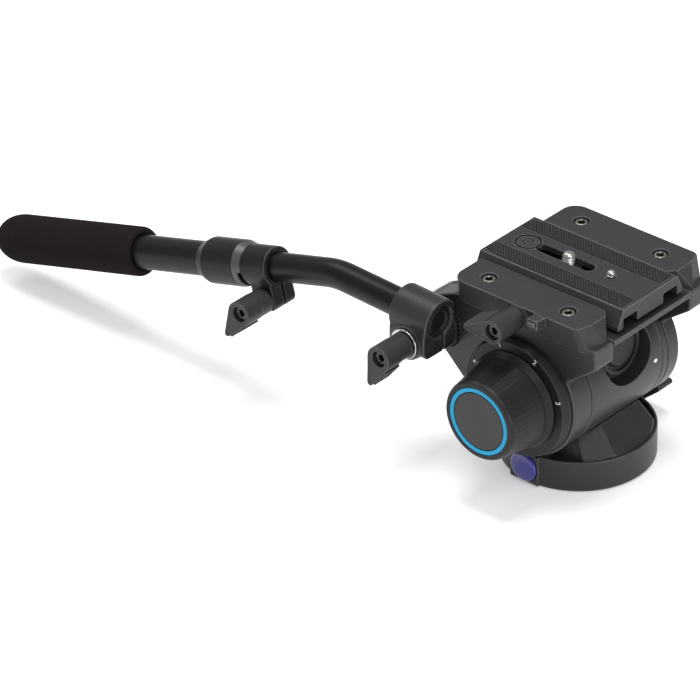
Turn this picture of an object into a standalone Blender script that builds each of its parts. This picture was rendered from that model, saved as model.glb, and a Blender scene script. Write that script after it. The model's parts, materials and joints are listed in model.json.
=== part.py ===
"""Fluid video head with a bent telescopic pan handle.

Lengths are metres. +Y is the way the lens points, +X is the side of the
counterbalance knob, +Z is up, and the origin is on the pan axis in the plane
that the head stands on.
"""
import math

import bmesh
import bpy
from mathutils import Matrix, Vector

PART_NAME = "fluid_video_head"

# Clearances shared by pieces that fit together
SEAT_GAP = 0.0003
RUNNING_GAP = 0.0004
OVERRUN = 0.004
MERGE_DISTANCE = 0.00001

# Pan base, fixed to the tripod
BASE_RADIUS = 0.0385
BASE_FLANGE = 0.0034
BASE_EDGE = 0.0005
HUB_RADIUS = 0.0130
HUB_HEIGHT = 0.0150
SPIGOT_RADIUS = 0.0105
SPIGOT_LENGTH = 0.0036
INSERT_RADIUS = 0.0076
INSERT_WALL_TOP = 0.0145
STUD_BORE_RADIUS = 0.00476
NUT_RADIUS = 0.0165
NUT_HEIGHT = 0.0030
BEARING_INNER = 0.0200
BEARING_OUTER = 0.0310
BEARING_HEIGHT = 0.0020
BASE_SCREW_CIRCLE = 0.0345
BASE_SCREW_RADIUS = 0.0022

# Panning housing: skirt, badge boss and neck
SKIRT_RADIUS = 0.0396
SKIRT_FOOT = 0.0010
SKIRT_TOP = 0.0176
SKIRT_LIP = 0.0016
SKIRT_EDGE = 0.0010
SKIRT_FLOOR = 0.0150
NECK_FOOT = 0.0140
NECK_TOP_DROP = 0.0143
NECK_SLOPE_TOP = 0.0310
NECK_HALF_WIDTH = 0.0235
NECK_HALF_DEPTH = 0.0235
NECK_CORNER = 0.0095
NECK_FOOT_HALF_WIDTH = 0.0300
NECK_FOOT_HALF_DEPTH = 0.0390
NECK_FOOT_CORNER = 0.0125
NECK_OFFSET = -0.0020
NECK_EDGE = 0.0018
NUT_CHAMBER_TOP = 0.0205
BOSS_ROOT = 0.0290
BOSS_STAND = 0.0014
BOSS_REACH = SKIRT_RADIUS + BOSS_STAND
BOSS_TOP = 0.0180
BOSS_REAR = -0.0106
BOSS_FRONT = 0.0078
BOSS_EDGE = 0.0010
BADGE_RADIUS = 0.0080
BADGE_DEPTH = 0.0012
BADGE_CROWN = 0.0016
BADGE_DOME_SHARES = (0.35, 0.65, 0.88)
BADGE_ALONG = -0.0015
BADGE_HEIGHT = 0.0098

# Drum of the tilt unit, fixed to the panning housing
DRUM_RADIUS = 0.0330
DRUM_ROOM = 0.0008
TILT_HEIGHT = NUT_CHAMBER_TOP + DRUM_ROOM + DRUM_RADIUS
NECK_TOP = TILT_HEIGHT - NECK_TOP_DROP
DRUM_RIGHT = 0.0303
DRUM_LEFT = -0.0289
DRUM_EDGE = 0.0008
DRUM_GROOVE = 0.0005
DRUM_GROOVE_INSET = 0.0040
DRUM_BORE = 0.0120
SCOOP_RADIUS = 0.0172
SCOOP_FLOOR = 0.0225
CAP_RISE = 0.0163
CAP_PITCH = 6.0
CAP_RADIUS = 0.0150
CAP_FACE = 0.0262
CAP_ROOT = 0.0147
CAP_RING = 0.0124
CAP_DISC = 0.0096
CAP_STEP = 0.0009
CAP_SWEEP = 0.0382

# Shaft, bearings, damper and spring inside the drum
AXLE_RADIUS = 0.0080
AXLE_BORE = 0.0045
AXLE_END_INSET = 0.0016
TILT_BEARING_WIDTH = 0.0060
SPRING_WIRE = 0.0011
SPRING_TURNS = 5
SPRING_POINTS = 9
DAMPER_WIDTH = 0.0040
DAMPER_RADIUS = 0.0113

# Tilting cheeks
CHEEK_RING = 0.0330
CHEEK_GAP = 0.0004
CHEEK_THICKNESS = 0.0140
LEFT_CHEEK_THICKNESS = 0.0155
LEFT_RING_THICKNESS = 0.0083
CHEEK_INNER = DRUM_RIGHT + CHEEK_GAP
CHEEK_OUTER = CHEEK_INNER + CHEEK_THICKNESS
LEFT_INNER = CHEEK_GAP - DRUM_LEFT
LEFT_OUTER = LEFT_INNER + LEFT_CHEEK_THICKNESS
LEFT_RING_OUTER = LEFT_INNER + LEFT_RING_THICKNESS
CHEEK_TOP_RISE = 0.0414
CHEEK_TOP = TILT_HEIGHT + CHEEK_TOP_RISE
LUG_FRONT = 0.0456
LUG_DEPTH = 0.0107
LUG_FOOT = CHEEK_TOP - LUG_DEPTH
LUG_HEEL_ALONG = 0.0293
LUG_HEEL_RISE = 0.0185
LUG_HEEL_HEIGHT = TILT_HEIGHT + LUG_HEEL_RISE
CHEEK_TOP_REAR = -0.0420
RING_START_ANGLE = 200.4
LUG_START_ANGLE = 105.0
LUG_END_ANGLE = 280.0
CHEEK_EDGE = 0.0006
RING_POINTS = 22
LUG_POINTS = 9
ROSETTE_ALONG = -0.0523
ROSETTE_RISE = 0.0208
ROSETTE_HEIGHT = TILT_HEIGHT + ROSETTE_RISE
ROSETTE_LUG_RADIUS = 0.0147
ROSETTE_LUG_WIDTH = 0.0190
ROSETTE_LUG_INNER = CHEEK_OUTER - ROSETTE_LUG_WIDTH
ROSETTE_RADIUS = 0.0132
ROSETTE_THICKNESS = 0.0024
ROSETTE_TEETH = 18
ROSETTE_TOOTH = 0.0005
ROSETTE_HOLE = 0.0034
ROSETTE_FACE = CHEEK_OUTER + SEAT_GAP

# Top slab between the cheeks
SLAB_THICKNESS = 0.0028
SLAB_UNDERSIDE = CHEEK_TOP - SLAB_THICKNESS
SLAB_FRONT = 0.0460
SLAB_REAR = -0.0400
SLAB_EDGE = 0.0005

# Dial ring and counterbalance knob
DIAL_RADIUS = 0.0318
DIAL_FACE_RADIUS = 0.0298
DIAL_BORE = 0.0270
DIAL_THICKNESS = 0.0063
DIAL_OUTER = CHEEK_OUTER + DIAL_THICKNESS
KNOB_SKIRT_RADIUS = 0.0284
KNOB_SKIRT_WIDTH = 0.0027
KNOB_NECK_RADIUS = 0.0245
KNOB_NECK_WIDTH = 0.0014
KNOB_GRIP_RADIUS = 0.0258
KNOB_NOSE_RADIUS = 0.0212
KNOB_RIM_RADIUS = 0.0203
KNOB_LENGTH = 0.0265
KNOB_FACE = DIAL_OUTER + RUNNING_GAP + KNOB_LENGTH
KNOB_FLUTES = 10
FLUTE_POINTS = 4
KNOB_FLUTE_DEPTH = 0.00045
KNOB_RIM_ROUND = 0.0016
TRIM_OUTER = 0.0179
TRIM_INNER = 0.0158
TRIM_THICKNESS = 0.0012
FACE_RADIUS = 0.0155
FACE_THICKNESS = 0.0010
KNOB_BORE = 0.0044
KNOB_BORE_DEPTH = 0.0220
KNOB_SHAFT_RADIUS = 0.0040
KNOB_SHAFT_START = 0.0200

# Tilt drag knob on the left side
DRAG_RADIUS = 0.0190
DRAG_NOSE = 0.0175
DRAG_WIDTH = 0.0085
DRAG_FLUTES = 8
DRAG_SHAFT_RADIUS = 0.0040

# Plate receiver, called the platform
PLATFORM_GAP = 0.0005
PLATFORM_THICKNESS = 0.0098
PLATFORM_FOOT = CHEEK_TOP + PLATFORM_GAP
PLATFORM_TOP = PLATFORM_FOOT + PLATFORM_THICKNESS
PLATFORM_HALF_WIDTH = 0.0478
PLATFORM_FOOT_HALF_WIDTH = 0.0463
PLATFORM_REAR = -0.0430
PLATFORM_REAR_CORNER = 0.0080
PLATFORM_FRONT_TOP = 0.0381
PLATFORM_FRONT_FOOT = 0.0446
NOSE_TOP_HALF = 0.0391
NOSE_FOOT_HALF = 0.0333
SHOULDER_TOP_OUT = 0.0466
SHOULDER_TOP_ALONG = 0.0359
SHOULDER_FOOT_OUT = 0.0446
SHOULDER_FOOT_ALONG = 0.0403
SIDE_FRONT = 0.0335
SIDE_FOOT_FRONT = 0.0375
WING_CHAMFER_ALONG = 0.0340
WING_CHAMFER_OUT = 0.0350
TAB_REAR = 0.0100
TAB_SHOULDER = 0.0160
TAB_FRONT = 0.0172
TAB_STAND = 0.0058
TAB_REACH = PLATFORM_HALF_WIDTH + TAB_STAND
TAB_STEP = 0.0003
TAB_DEPTH = 0.0056
TAB_TOP = PLATFORM_TOP - TAB_STEP
CHANNEL_FLOOR_THICKNESS = 0.0013
CHANNEL_FLOOR = PLATFORM_FOOT + CHANNEL_FLOOR_THICKNESS
CHANNEL_TOP_HALF = 0.0236
CHANNEL_FOOT_HALF = 0.0258
CHANNEL_LIP = 0.0030
SCREW_ACROSS = 0.0359
SCREW_REAR = -0.0283
SCREW_FRONT = 0.0214
SCREW_POCKET_RADIUS = 0.0041
SCREW_POCKET_DEPTH = 0.0040
SCREW_HEAD_RADIUS = 0.0033
SCREW_HEAD_HEIGHT = 0.0030
SCREW_SHANK_RADIUS = 0.0015
SCREW_SOCKET_RADIUS = 0.0017
SCREW_SOCKET_DEPTH = 0.0018
SCREW_BITE = 0.0039
SCREW_REACH = CHEEK_TOP - SCREW_BITE

# Sliding quick release plate and its fittings
PLATE_THICKNESS = 0.0103
PLATE_FOOT = CHANNEL_FLOOR + SEAT_GAP
PLATE_TOP = PLATE_FOOT + PLATE_THICKNESS
PLATE_REAR = -0.0464
PLATE_FRONT = 0.0437
PLATE_TOP_HALF = 0.0211
PLATE_FOOT_HALF = 0.0252
PLATE_FLANK_RISE = 0.0018
PLATE_FLANK_FOOT = PLATE_FOOT + PLATE_FLANK_RISE
PLATE_NOTCH_INNER = 0.0100
PLATE_NOTCH_OUTER = 0.0212
PLATE_NOTCH_DEPTH = 0.0052
PLATE_NOTCH_TOP = PLATE_FOOT + PLATE_NOTCH_DEPTH
PLATE_EDGE = 0.0004
STRIP_INNER = 0.0099
STRIP_OUTER = 0.0199
STRIP_REAR = -0.0454
STRIP_FRONT = 0.0413
STRIP_CUT_ACROSS = 0.0024
STRIP_CUT_ALONG = 0.0080
STRIP_POCKET = 0.0006
STRIP_THICKNESS = 0.0007
SLOT_RADIUS = 0.0035
SLOT_REAR = -0.0236
SLOT_FRONT = 0.0048
TRACK_RADIUS = 0.0076
TRACK_ROOF = 0.0029
TRACK_TOP = PLATE_TOP - TRACK_ROOF
PARK_RADIUS = 0.0069
PARK_DEPTH = 0.0010
PARK_ALONG = -0.0330
PARK_POST_RADIUS = 0.0058
PARK_EYE_RADIUS = 0.0026
PARK_EYE_DEPTH = 0.0006
CAMERA_SCREW_RADIUS = 0.003175
CAMERA_SCREW_ALONG = -0.0074
CAMERA_SCREW_STAND = 0.0038
CAMERA_SCREW_HEAD = 0.0062
CAMERA_SCREW_HEAD_HEIGHT = 0.0032
CAMERA_SCREW_DOME = 0.0008
WASHER_RADIUS = 0.0068
WASHER_THICKNESS = 0.0008
WASHER_GAP = 0.0004
PIN_ALONG = 0.0190
PIN_RADIUS = 0.0021
PIN_STAND = 0.0034
PIN_FLANGE_RADIUS = 0.0034
PIN_FLANGE_HEIGHT = 0.0010
PIN_WELL_RADIUS = 0.0038
PIN_WELL_ROOF = 0.0026
PIN_WELL_TOP = PLATE_TOP - PIN_WELL_ROOF

# Jaw that the plate lock draws against the plate
JAW_INNER = PLATE_FOOT_HALF + SEAT_GAP
JAW_THICKNESS = 0.0045
JAW_OUTER = JAW_INNER + JAW_THICKNESS
JAW_HALF_LENGTH = 0.0140
JAW_TRAVEL = 0.0008
LOCK_ALONG = -0.0006
LOCK_RISE = 0.0034
LOCK_HEIGHT = PLATFORM_FOOT + LOCK_RISE

# Release button on the tab
LOCK_BOSS_RADIUS = 0.0063
LOCK_BOSS_ROOT = 0.0454
LOCK_BOSS_STAND = 0.0006
LOCK_BOSS_FACE = PLATFORM_HALF_WIDTH + LOCK_BOSS_STAND
BUTTON_ALONG = 0.0130
BUTTON_RISE = 0.0071
BUTTON_HEIGHT = PLATFORM_FOOT + BUTTON_RISE
BUTTON_HALF_LENGTH = 0.0022
BUTTON_HALF_HEIGHT = 0.0011
BUTTON_STAND = 0.0010
BUTTON_LENGTH = 0.0042
BUTTON_TRAVEL = 0.0010

# Wing knobs, one shape for all five locks
WING_BARREL_RADIUS = 0.0067
WING_HUB_RADIUS = 0.0069
WING_LENGTH = 0.0178
WING_TIP_RADIUS = 0.0017
WING_TIP_POINTS = 3
WING_KNOB_LENGTH = 0.0188
WING_THICKNESS = 0.0112
WING_RIDGES = 4
WING_HUB_POINTS = 12
WING_RIDGE_HEIGHT = 0.0005
WING_RIDGED_SHARE = 0.72
WING_RIDGE_LEAD_SHARE = 0.6
WING_RIDGE_SHARES = ((0.15, 0.0), (0.35, 1.0), (0.65, 1.0), (0.85, 0.0))
WING_RECESS_RADIUS = 0.0042
WING_RECESS_DEPTH = 0.0045
WING_BORE_RADIUS = 0.0029
LOCK_SCREW_RADIUS = 0.0025
LOCK_SCREW_HEAD_RADIUS = 0.0038
LOCK_SCREW_HEAD_HEIGHT = 0.0020
HANDLE_SCREW_RADIUS = 0.0030

# Lock places and the way each wing points, degrees about +X from +Y
PLATE_LOCK_ANGLE = 189.0
HANDLE_LOCK_ANGLE = 250.0
COLLAR_LOCK_ANGLE = 240.0
PAN_LOCK_ALONG = -0.0030
PAN_LOCK_HEIGHT = 0.0115
PAN_LOCK_ANGLE = 22.0
PAN_LOCK_BOSS_RADIUS = 0.0080
PAN_LOCK_SEAT = SKIRT_RADIUS
TILT_LOCK_ALONG = -0.0225
TILT_LOCK_RISE = 0.0287
TILT_LOCK_HEIGHT = TILT_HEIGHT + TILT_LOCK_RISE
TILT_LOCK_ANGLE = 200.0
LOCK_SCREW_BITE = 0.0070

# Handle clamp on the right rosette
CLAMP_SLEEVE_RADIUS = 0.0121
CLAMP_SIDE_ROOM = 0.0009
HANDLE_ACROSS = ROSETTE_FACE + CLAMP_SLEEVE_RADIUS + CLAMP_SIDE_ROOM
CLAMP_FRONT = -0.0402
CLAMP_REAR = -0.0640
CLAMP_BOLT_FACE = 0.0009
CLAMP_OUTER = HANDLE_ACROSS + CLAMP_SLEEVE_RADIUS + CLAMP_BOLT_FACE
CLAMP_INNER = ROSETTE_FACE + ROSETTE_THICKNESS + 3 * SEAT_GAP
CLAMP_NOSE_RADIUS = 0.0092
CLAMP_ROOT_RADIUS = 0.0128
CLAMP_WEB_DEPTH = 0.0172
CLAMP_WEB_WAIST = 0.0050
CLAMP_WEB_CORNER = 0.0030
CLAMP_SLIT = 0.0010
CLAMP_SLIT_SHIFT = -0.0022
CLAMP_EDGE = 0.0008
HANDLE_WASHER_RADIUS = 0.0080
HANDLE_WASHER_THICKNESS = 0.0010

# Bent inner tube and sliding outer tube
TUBE_RADIUS = 0.0075
TUBE_WALL = 0.0012
TUBE_FRONT_RISE = 0.0312
TUBE_FRONT_HEIGHT = TILT_HEIGHT + TUBE_FRONT_RISE
TUBE_FRONT_INSET = 0.0008
TUBE_RISE = 2.2
TUBE_DROP = 15.9
BEND_ALONG = -0.1071
BEND_RADIUS = 0.0420
BEND_POINTS = 7
TUBE_REACH = 0.1900
PLUG_THICKNESS = 0.0050
SLEEVE_RADIUS = 0.0090
SLEEVE_WALL = 0.0011

# Collar, measured along the far leg of the handle from the bend
COLLAR_FRONT = 0.0418
COLLAR_JAW_END = 0.0585
COLLAR_SHOULDER = 0.0635
COLLAR_BODY_END = 0.0853
COLLAR_REAR = 0.0912
COLLAR_JAW_RADIUS = 0.0098
COLLAR_RADIUS = 0.0121
COLLAR_REAR_RADIUS = 0.0097
COLLAR_BORE_END = 0.0640
COLLAR_EAR_HALF_WIDTH = 0.0086
COLLAR_EAR_DROP = 0.0218
COLLAR_EAR_LENGTH = 0.0145
COLLAR_EAR_CORNER = 0.0040
COLLAR_SLIT = 0.0016
COLLAR_LOCK_DROP = 0.0152
COLLAR_LOCK_ALONG = 0.0485
RELIEF_START = 0.0572
RELIEF_WIDTH = 0.0030
RELIEF_DROP = 0.0012

# Foam grip on the end of the handle
GRIP_START = 0.1386
GRIP_END = 0.2455
GRIP_RADIUS = 0.0130
GRIP_DOME = 0.0180
GRIP_DOME_POWER = 0.85
GRIP_FRONT_ROUND = 0.0022
GRIP_END_WALL = 0.0100
DOME_POINTS = 7

# Facets around round pieces
FINE_STEPS = 36
ROUND_STEPS = 22
MEDIUM_STEPS = 16
SMALL_STEPS = 10

X_AXIS = Vector((1.0, 0.0, 0.0))
Z_AXIS = Vector((0.0, 0.0, 1.0))
LEFTWARD = -X_AXIS

MATERIALS = {
    "painted_alloy": ((0.022, 0.022, 0.024), 0.52, 0.0),
    "anodised_alloy": ((0.012, 0.012, 0.014), 0.36, 0.6),
    "black_plastic": ((0.018, 0.018, 0.020), 0.48, 0.0),
    "rubber": ((0.014, 0.014, 0.015), 0.80, 0.0),
    "foam": ((0.006, 0.006, 0.006), 0.95, 0.0),
    "bright_steel": ((0.62, 0.61, 0.58), 0.28, 1.0),
    "spring_steel": ((0.32, 0.32, 0.33), 0.35, 1.0),
    "blue_trim": ((0.010, 0.260, 0.620), 0.40, 0.0),
    "grey_disc": ((0.045, 0.045, 0.048), 0.55, 0.0),
    "badge_enamel": ((0.035, 0.030, 0.300), 0.18, 0.0),
    "bronze": ((0.38, 0.23, 0.09), 0.40, 1.0),
}


def clear_scene():
    """Remove what the open file holds, so that the script can be run again."""
    for obj in list(bpy.data.objects):
        bpy.data.objects.remove(obj, do_unlink=True)
    for collection in list(bpy.data.collections):
        bpy.data.collections.remove(collection)


def new_collection(name):
    collection = bpy.data.collections.new(name)
    bpy.context.scene.collection.children.link(collection)
    return collection


def new_material(name, colour, roughness, metallic):
    material = bpy.data.materials.new(name)
    material.use_nodes = True
    shader = material.node_tree.nodes["Principled BSDF"]
    shader.inputs["Base Color"].default_value = (*colour, 1.0)
    shader.inputs["Roughness"].default_value = roughness
    shader.inputs["Metallic"].default_value = metallic
    material.diffuse_color = (*colour, 1.0)
    return material


clear_scene()
PARTS = new_collection(PART_NAME)
CUTTERS = new_collection(PART_NAME + "_cutters")
FINISHES = {name: new_material(name, *look) for name, look in MATERIALS.items()}


def add_object(name, data, finish=None):
    """Link an object: a part when it has a finish, and a cutter when it has none."""
    obj = bpy.data.objects.new(name, data)
    if finish is None:
        CUTTERS.objects.link(obj)
        obj.hide_render = True
        obj.display_type = "WIRE"
    else:
        PARTS.objects.link(obj)
        data.materials.append(FINISHES[finish])
    return obj


def turn_to(obj, direction, place):
    """Stand an object's own Z along a direction, with its origin at a place."""
    obj.rotation_mode = "QUATERNION"
    obj.rotation_quaternion = Z_AXIS.rotation_difference(Vector(direction))
    obj.location = place
    return obj


def smooth(obj, angle=35.0):
    obj.data.shade_smooth()
    obj.data.set_sharp_from_angle(angle=math.radians(angle))
    return obj


def turned(name, profile, direction, place, finish=None, steps=ROUND_STEPS, ring=False):
    """A profile of (radius, height) pairs, turned about a line by a Screw modifier.

    The pairs run down the outer side. A ring's profile closes on itself, and any
    other begins and ends on the axis.
    """
    mesh = bpy.data.meshes.new(name)
    points = [(radius, 0.0, height) for radius, height in profile]
    edges = [(index, index + 1) for index in range(len(points) - 1)]
    if ring:
        edges.append((len(points) - 1, 0))
    mesh.from_pydata(points, edges, [])
    obj = add_object(name, mesh, finish)
    screw = obj.modifiers.new("turn", "SCREW")
    screw.axis = "Z"
    screw.steps = steps
    screw.render_steps = steps
    screw.use_merge_vertices = True
    screw.merge_threshold = MERGE_DISTANCE
    screw.use_smooth_shade = True
    return turn_to(obj, direction, place)


def disc(name, radius, low, high, direction, place, finish=None, steps=ROUND_STEPS):
    """A plain cylinder from low to high along its direction."""
    mesh = bpy.data.meshes.new(name)
    form = bmesh.new()
    bmesh.ops.create_cone(form, cap_ends=True, segments=steps, radius1=radius, radius2=radius,
                          depth=high - low, matrix=Matrix.Translation((0.0, 0.0, (low + high) / 2)))
    form.to_mesh(mesh)
    form.free()
    obj = turn_to(add_object(name, mesh, finish), direction, place)
    return smooth(obj)


def cone(name, low_radius, high_radius, low, high, direction, place, finish=None, steps=ROUND_STEPS):
    """A cone frustum whose radius goes from the low end's to the high end's."""
    mesh = bpy.data.meshes.new(name)
    form = bmesh.new()
    bmesh.ops.create_cone(form, cap_ends=True, segments=steps, radius1=low_radius, radius2=high_radius,
                          depth=high - low, matrix=Matrix.Translation((0.0, 0.0, (low + high) / 2)))
    form.to_mesh(mesh)
    form.free()
    obj = turn_to(add_object(name, mesh, finish), direction, place)
    return smooth(obj)


def block(name, low, high, finish=None):
    """A box between two corners."""
    mesh = bpy.data.meshes.new(name)
    form = bmesh.new()
    bmesh.ops.create_cube(form, size=1.0)
    span = [high[axis] - low[axis] for axis in range(3)]
    middle = [(high[axis] + low[axis]) / 2 for axis in range(3)]
    bmesh.ops.scale(form, vec=span, verts=form.verts)
    form.to_mesh(mesh)
    form.free()
    obj = add_object(name, mesh, finish)
    obj.location = middle
    return obj


def arc(centre, radius, start, end, count):
    """Points on an arc, from the start angle to the end angle in degrees."""
    points = []
    for index in range(count + 1):
        angle = math.radians(start + (end - start) * index / count)
        points.append((centre[0] + radius * math.cos(angle), centre[1] + radius * math.sin(angle)))
    return points


PLANES = {
    "X": Matrix(((0, 0, 1), (1, 0, 0), (0, 1, 0))).to_4x4(),
    "Y": Matrix(((0, 1, 0), (0, 0, 1), (1, 0, 0))).to_4x4(),
    "Z": Matrix.Identity(4),
}


def mesh_from_curve(obj, finish):
    """Turn a curve object into a mesh object whose caps are welded to its sides."""
    bpy.context.view_layer.update()
    name = obj.name
    place = obj.matrix_world.copy()
    evaluated = obj.evaluated_get(bpy.context.evaluated_depsgraph_get())
    mesh = bpy.data.meshes.new_from_object(evaluated)
    form = bmesh.new()
    form.from_mesh(mesh)
    bmesh.ops.remove_doubles(form, verts=form.verts, dist=MERGE_DISTANCE)
    bmesh.ops.recalc_face_normals(form, faces=form.faces)
    form.to_mesh(mesh)
    form.free()
    bpy.data.objects.remove(obj, do_unlink=True)
    mesh.materials.clear()
    solid = add_object(name, mesh, finish)
    solid.name = name
    solid.matrix_world = place
    return solid


def extruded(name, outline, low, high, plane, finish=None):
    """A flat outline, drawn across a plane's axis, with thickness from low to high."""
    curve = bpy.data.curves.new(name, "CURVE")
    curve.dimensions = "2D"
    curve.fill_mode = "BOTH"
    curve.extrude = (high - low) / 2
    spline = curve.splines.new("POLY")
    spline.points.add(len(outline) - 1)
    for point, (across, up) in zip(spline.points, outline):
        point.co = (across, up, 0.0, 1.0)
    spline.use_cyclic_u = True
    obj = bpy.data.objects.new(name, curve)
    CUTTERS.objects.link(obj)
    obj.matrix_world = PLANES[plane] @ Matrix.Translation((0.0, 0.0, (low + high) / 2))
    return smooth(mesh_from_curve(obj, finish), 30.0)


def swept(name, points, radius, finish=None, resolution=4, hollow=0.0):
    """A round bar along a line of points; hollow bores it but for its first cap."""
    def bar(bar_name, bar_points, bar_radius, bar_finish):
        curve = bpy.data.curves.new(bar_name, "CURVE")
        curve.dimensions = "3D"
        curve.bevel_depth = bar_radius
        curve.bevel_resolution = resolution
        curve.use_fill_caps = True
        spline = curve.splines.new("POLY")
        spline.points.add(len(bar_points) - 1)
        for point, place in zip(spline.points, bar_points):
            point.co = (*place, 1.0)
        obj = bpy.data.objects.new(bar_name, curve)
        CUTTERS.objects.link(obj)
        return smooth(mesh_from_curve(obj, bar_finish))

    solid = bar(name, points, radius, finish)
    if hollow:
        last = Vector(points[-1])
        beyond = last + (last - Vector(points[-2])).normalized() * OVERRUN
        cut(solid, bar(name + "_bore", points[:-1] + [tuple(beyond)], hollow, None))
    return solid


def boolean(target, tool, operation):
    change = target.modifiers.new(tool.name, "BOOLEAN")
    change.operation = operation
    change.object = tool
    change.solver = "EXACT"
    return target


def cut(target, tool):
    return boolean(target, tool, "DIFFERENCE")


def join(target, tool):
    return boolean(target, tool, "UNION")


def keep(target, tool):
    return boolean(target, tool, "INTERSECT")


def bevel(target, width, segments=1, angle=40.0):
    """Break the sharp edges of a solid."""
    change = target.modifiers.new("edges", "BEVEL")
    change.width = width
    change.segments = segments
    change.limit_method = "ANGLE"
    change.angle_limit = math.radians(angle)
    return target


def parent_to(axis, *pieces):
    """Hang pieces on an empty without moving them."""
    bpy.context.view_layer.update()
    for piece in pieces:
        piece.parent = axis
        piece.matrix_parent_inverse = axis.matrix_world.inverted()


def joint_axis(name, place, parent=None):
    empty = bpy.data.objects.new(name, None)
    PARTS.objects.link(empty)
    empty.empty_display_size = SCREW_ACROSS / 2
    empty.location = place
    if parent:
        parent_to(parent, empty)
    return empty


def at_tilt(across):
    """A place on the tilt axis."""
    return (across, 0.0, TILT_HEIGHT)


def polar(centre, radius, angle):
    turn = math.radians(angle)
    return (centre[0] + radius * math.cos(turn), centre[1] + radius * math.sin(turn))


def ring_profile(outer, inner, low, high):
    return [(outer, high), (outer, low), (inner, low), (inner, high)]


# Handle geometry: the far leg leaves the bend backwards and down
FAR_LEG = Vector((0.0, -math.cos(math.radians(TUBE_DROP)), -math.sin(math.radians(TUBE_DROP))))
NEAR_LEG = Vector((0.0, -math.cos(math.radians(TUBE_RISE)), math.sin(math.radians(TUBE_RISE))))
TUBE_FRONT = Vector((HANDLE_ACROSS, CLAMP_FRONT, TUBE_FRONT_HEIGHT))
BEND = TUBE_FRONT + NEAR_LEG * ((CLAMP_FRONT - BEND_ALONG) / -NEAR_LEG.y)
FAR_LEG_UP = Vector((0.0, FAR_LEG.z, -FAR_LEG.y))


def on_far_leg(distance, drop=0.0, across=0.0):
    """A place by its distance from the bend, its drop below the tube and its shift across."""
    return BEND + FAR_LEG * distance - FAR_LEG_UP * drop + X_AXIS * across


def make_pan_base_plate():
    """Round foot with a hub that carries the pan bearing and the tripod insert."""
    bore = INSERT_RADIUS + SEAT_GAP
    profile = [
        (SPIGOT_RADIUS, HUB_HEIGHT + SPIGOT_LENGTH),
        (SPIGOT_RADIUS, HUB_HEIGHT),
        (HUB_RADIUS, HUB_HEIGHT),
        (HUB_RADIUS, BASE_FLANGE),
        (BASE_RADIUS - BASE_EDGE, BASE_FLANGE),
        (BASE_RADIUS, BASE_FLANGE - BASE_EDGE),
        (BASE_RADIUS, BASE_EDGE),
        (BASE_RADIUS - BASE_EDGE, 0.0),
        (bore, 0.0),
        (bore, HUB_HEIGHT + SPIGOT_LENGTH),
    ]
    plate = turned("pan_base_plate", profile, Z_AXIS, (0, 0, 0), "painted_alloy", FINE_STEPS, ring=True)
    for index in range(3):
        place = polar((0.0, 0.0), BASE_SCREW_CIRCLE, 360.0 * index / 3 + 30.0)
        hole = disc("base_screw_hole_%d" % index, BASE_SCREW_RADIUS, -OVERRUN, BASE_FLANGE + OVERRUN,
                    Z_AXIS, (*place, 0.0), steps=SMALL_STEPS)
        cut(plate, hole)
    return plate


def make_tripod_thread_insert():
    profile = ring_profile(INSERT_RADIUS, STUD_BORE_RADIUS, 0.0, INSERT_WALL_TOP)
    return turned("tripod_thread_insert", profile, Z_AXIS, (0, 0, 0), "bright_steel",
                  SMALL_STEPS, ring=True)


def make_pan_bearing():
    low = BASE_FLANGE + SEAT_GAP
    profile = ring_profile(BEARING_OUTER, BEARING_INNER, low, low + BEARING_HEIGHT)
    return turned("pan_bearing", profile, Z_AXIS, (0, 0, 0), "bronze", ring=True)


def make_pan_retaining_nut():
    """Ring nut on the hub's spigot that holds the panning housing down."""
    low = HUB_HEIGHT + SEAT_GAP
    profile = ring_profile(NUT_RADIUS, SPIGOT_RADIUS + SEAT_GAP, low, low + NUT_HEIGHT)
    return turned("pan_retaining_nut", profile, Z_AXIS, (0, 0, 0), "spring_steel", ring=True)


def chamfered_rectangle(half_width, half_depth, corner, offset):
    """Eight corners of a rectangle with its own corners cut off."""
    across = half_width - corner
    along = half_depth - corner
    return [
        (offset + across, half_depth), (offset - across, half_depth),
        (offset - half_width, along), (offset - half_width, -along),
        (offset - across, -half_depth), (offset + across, -half_depth),
        (offset + half_width, -along), (offset + half_width, along),
    ]


def lofted(name, sections, finish=None):
    """A solid through sections of (height, outline), each with as many points."""
    form = bmesh.new()
    rings = []
    for height, outline in sections:
        rings.append([form.verts.new((across, along, height)) for across, along in outline])
    count = len(rings[0])
    for lower, upper in zip(rings, rings[1:]):
        for index in range(count):
            after = (index + 1) % count
            form.faces.new((lower[index], lower[after], upper[after], upper[index]))
    form.faces.new(rings[0])
    form.faces.new(rings[-1])
    bmesh.ops.recalc_face_normals(form, faces=form.faces)
    mesh = bpy.data.meshes.new(name)
    form.to_mesh(mesh)
    form.free()
    return add_object(name, mesh, finish)


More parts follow.
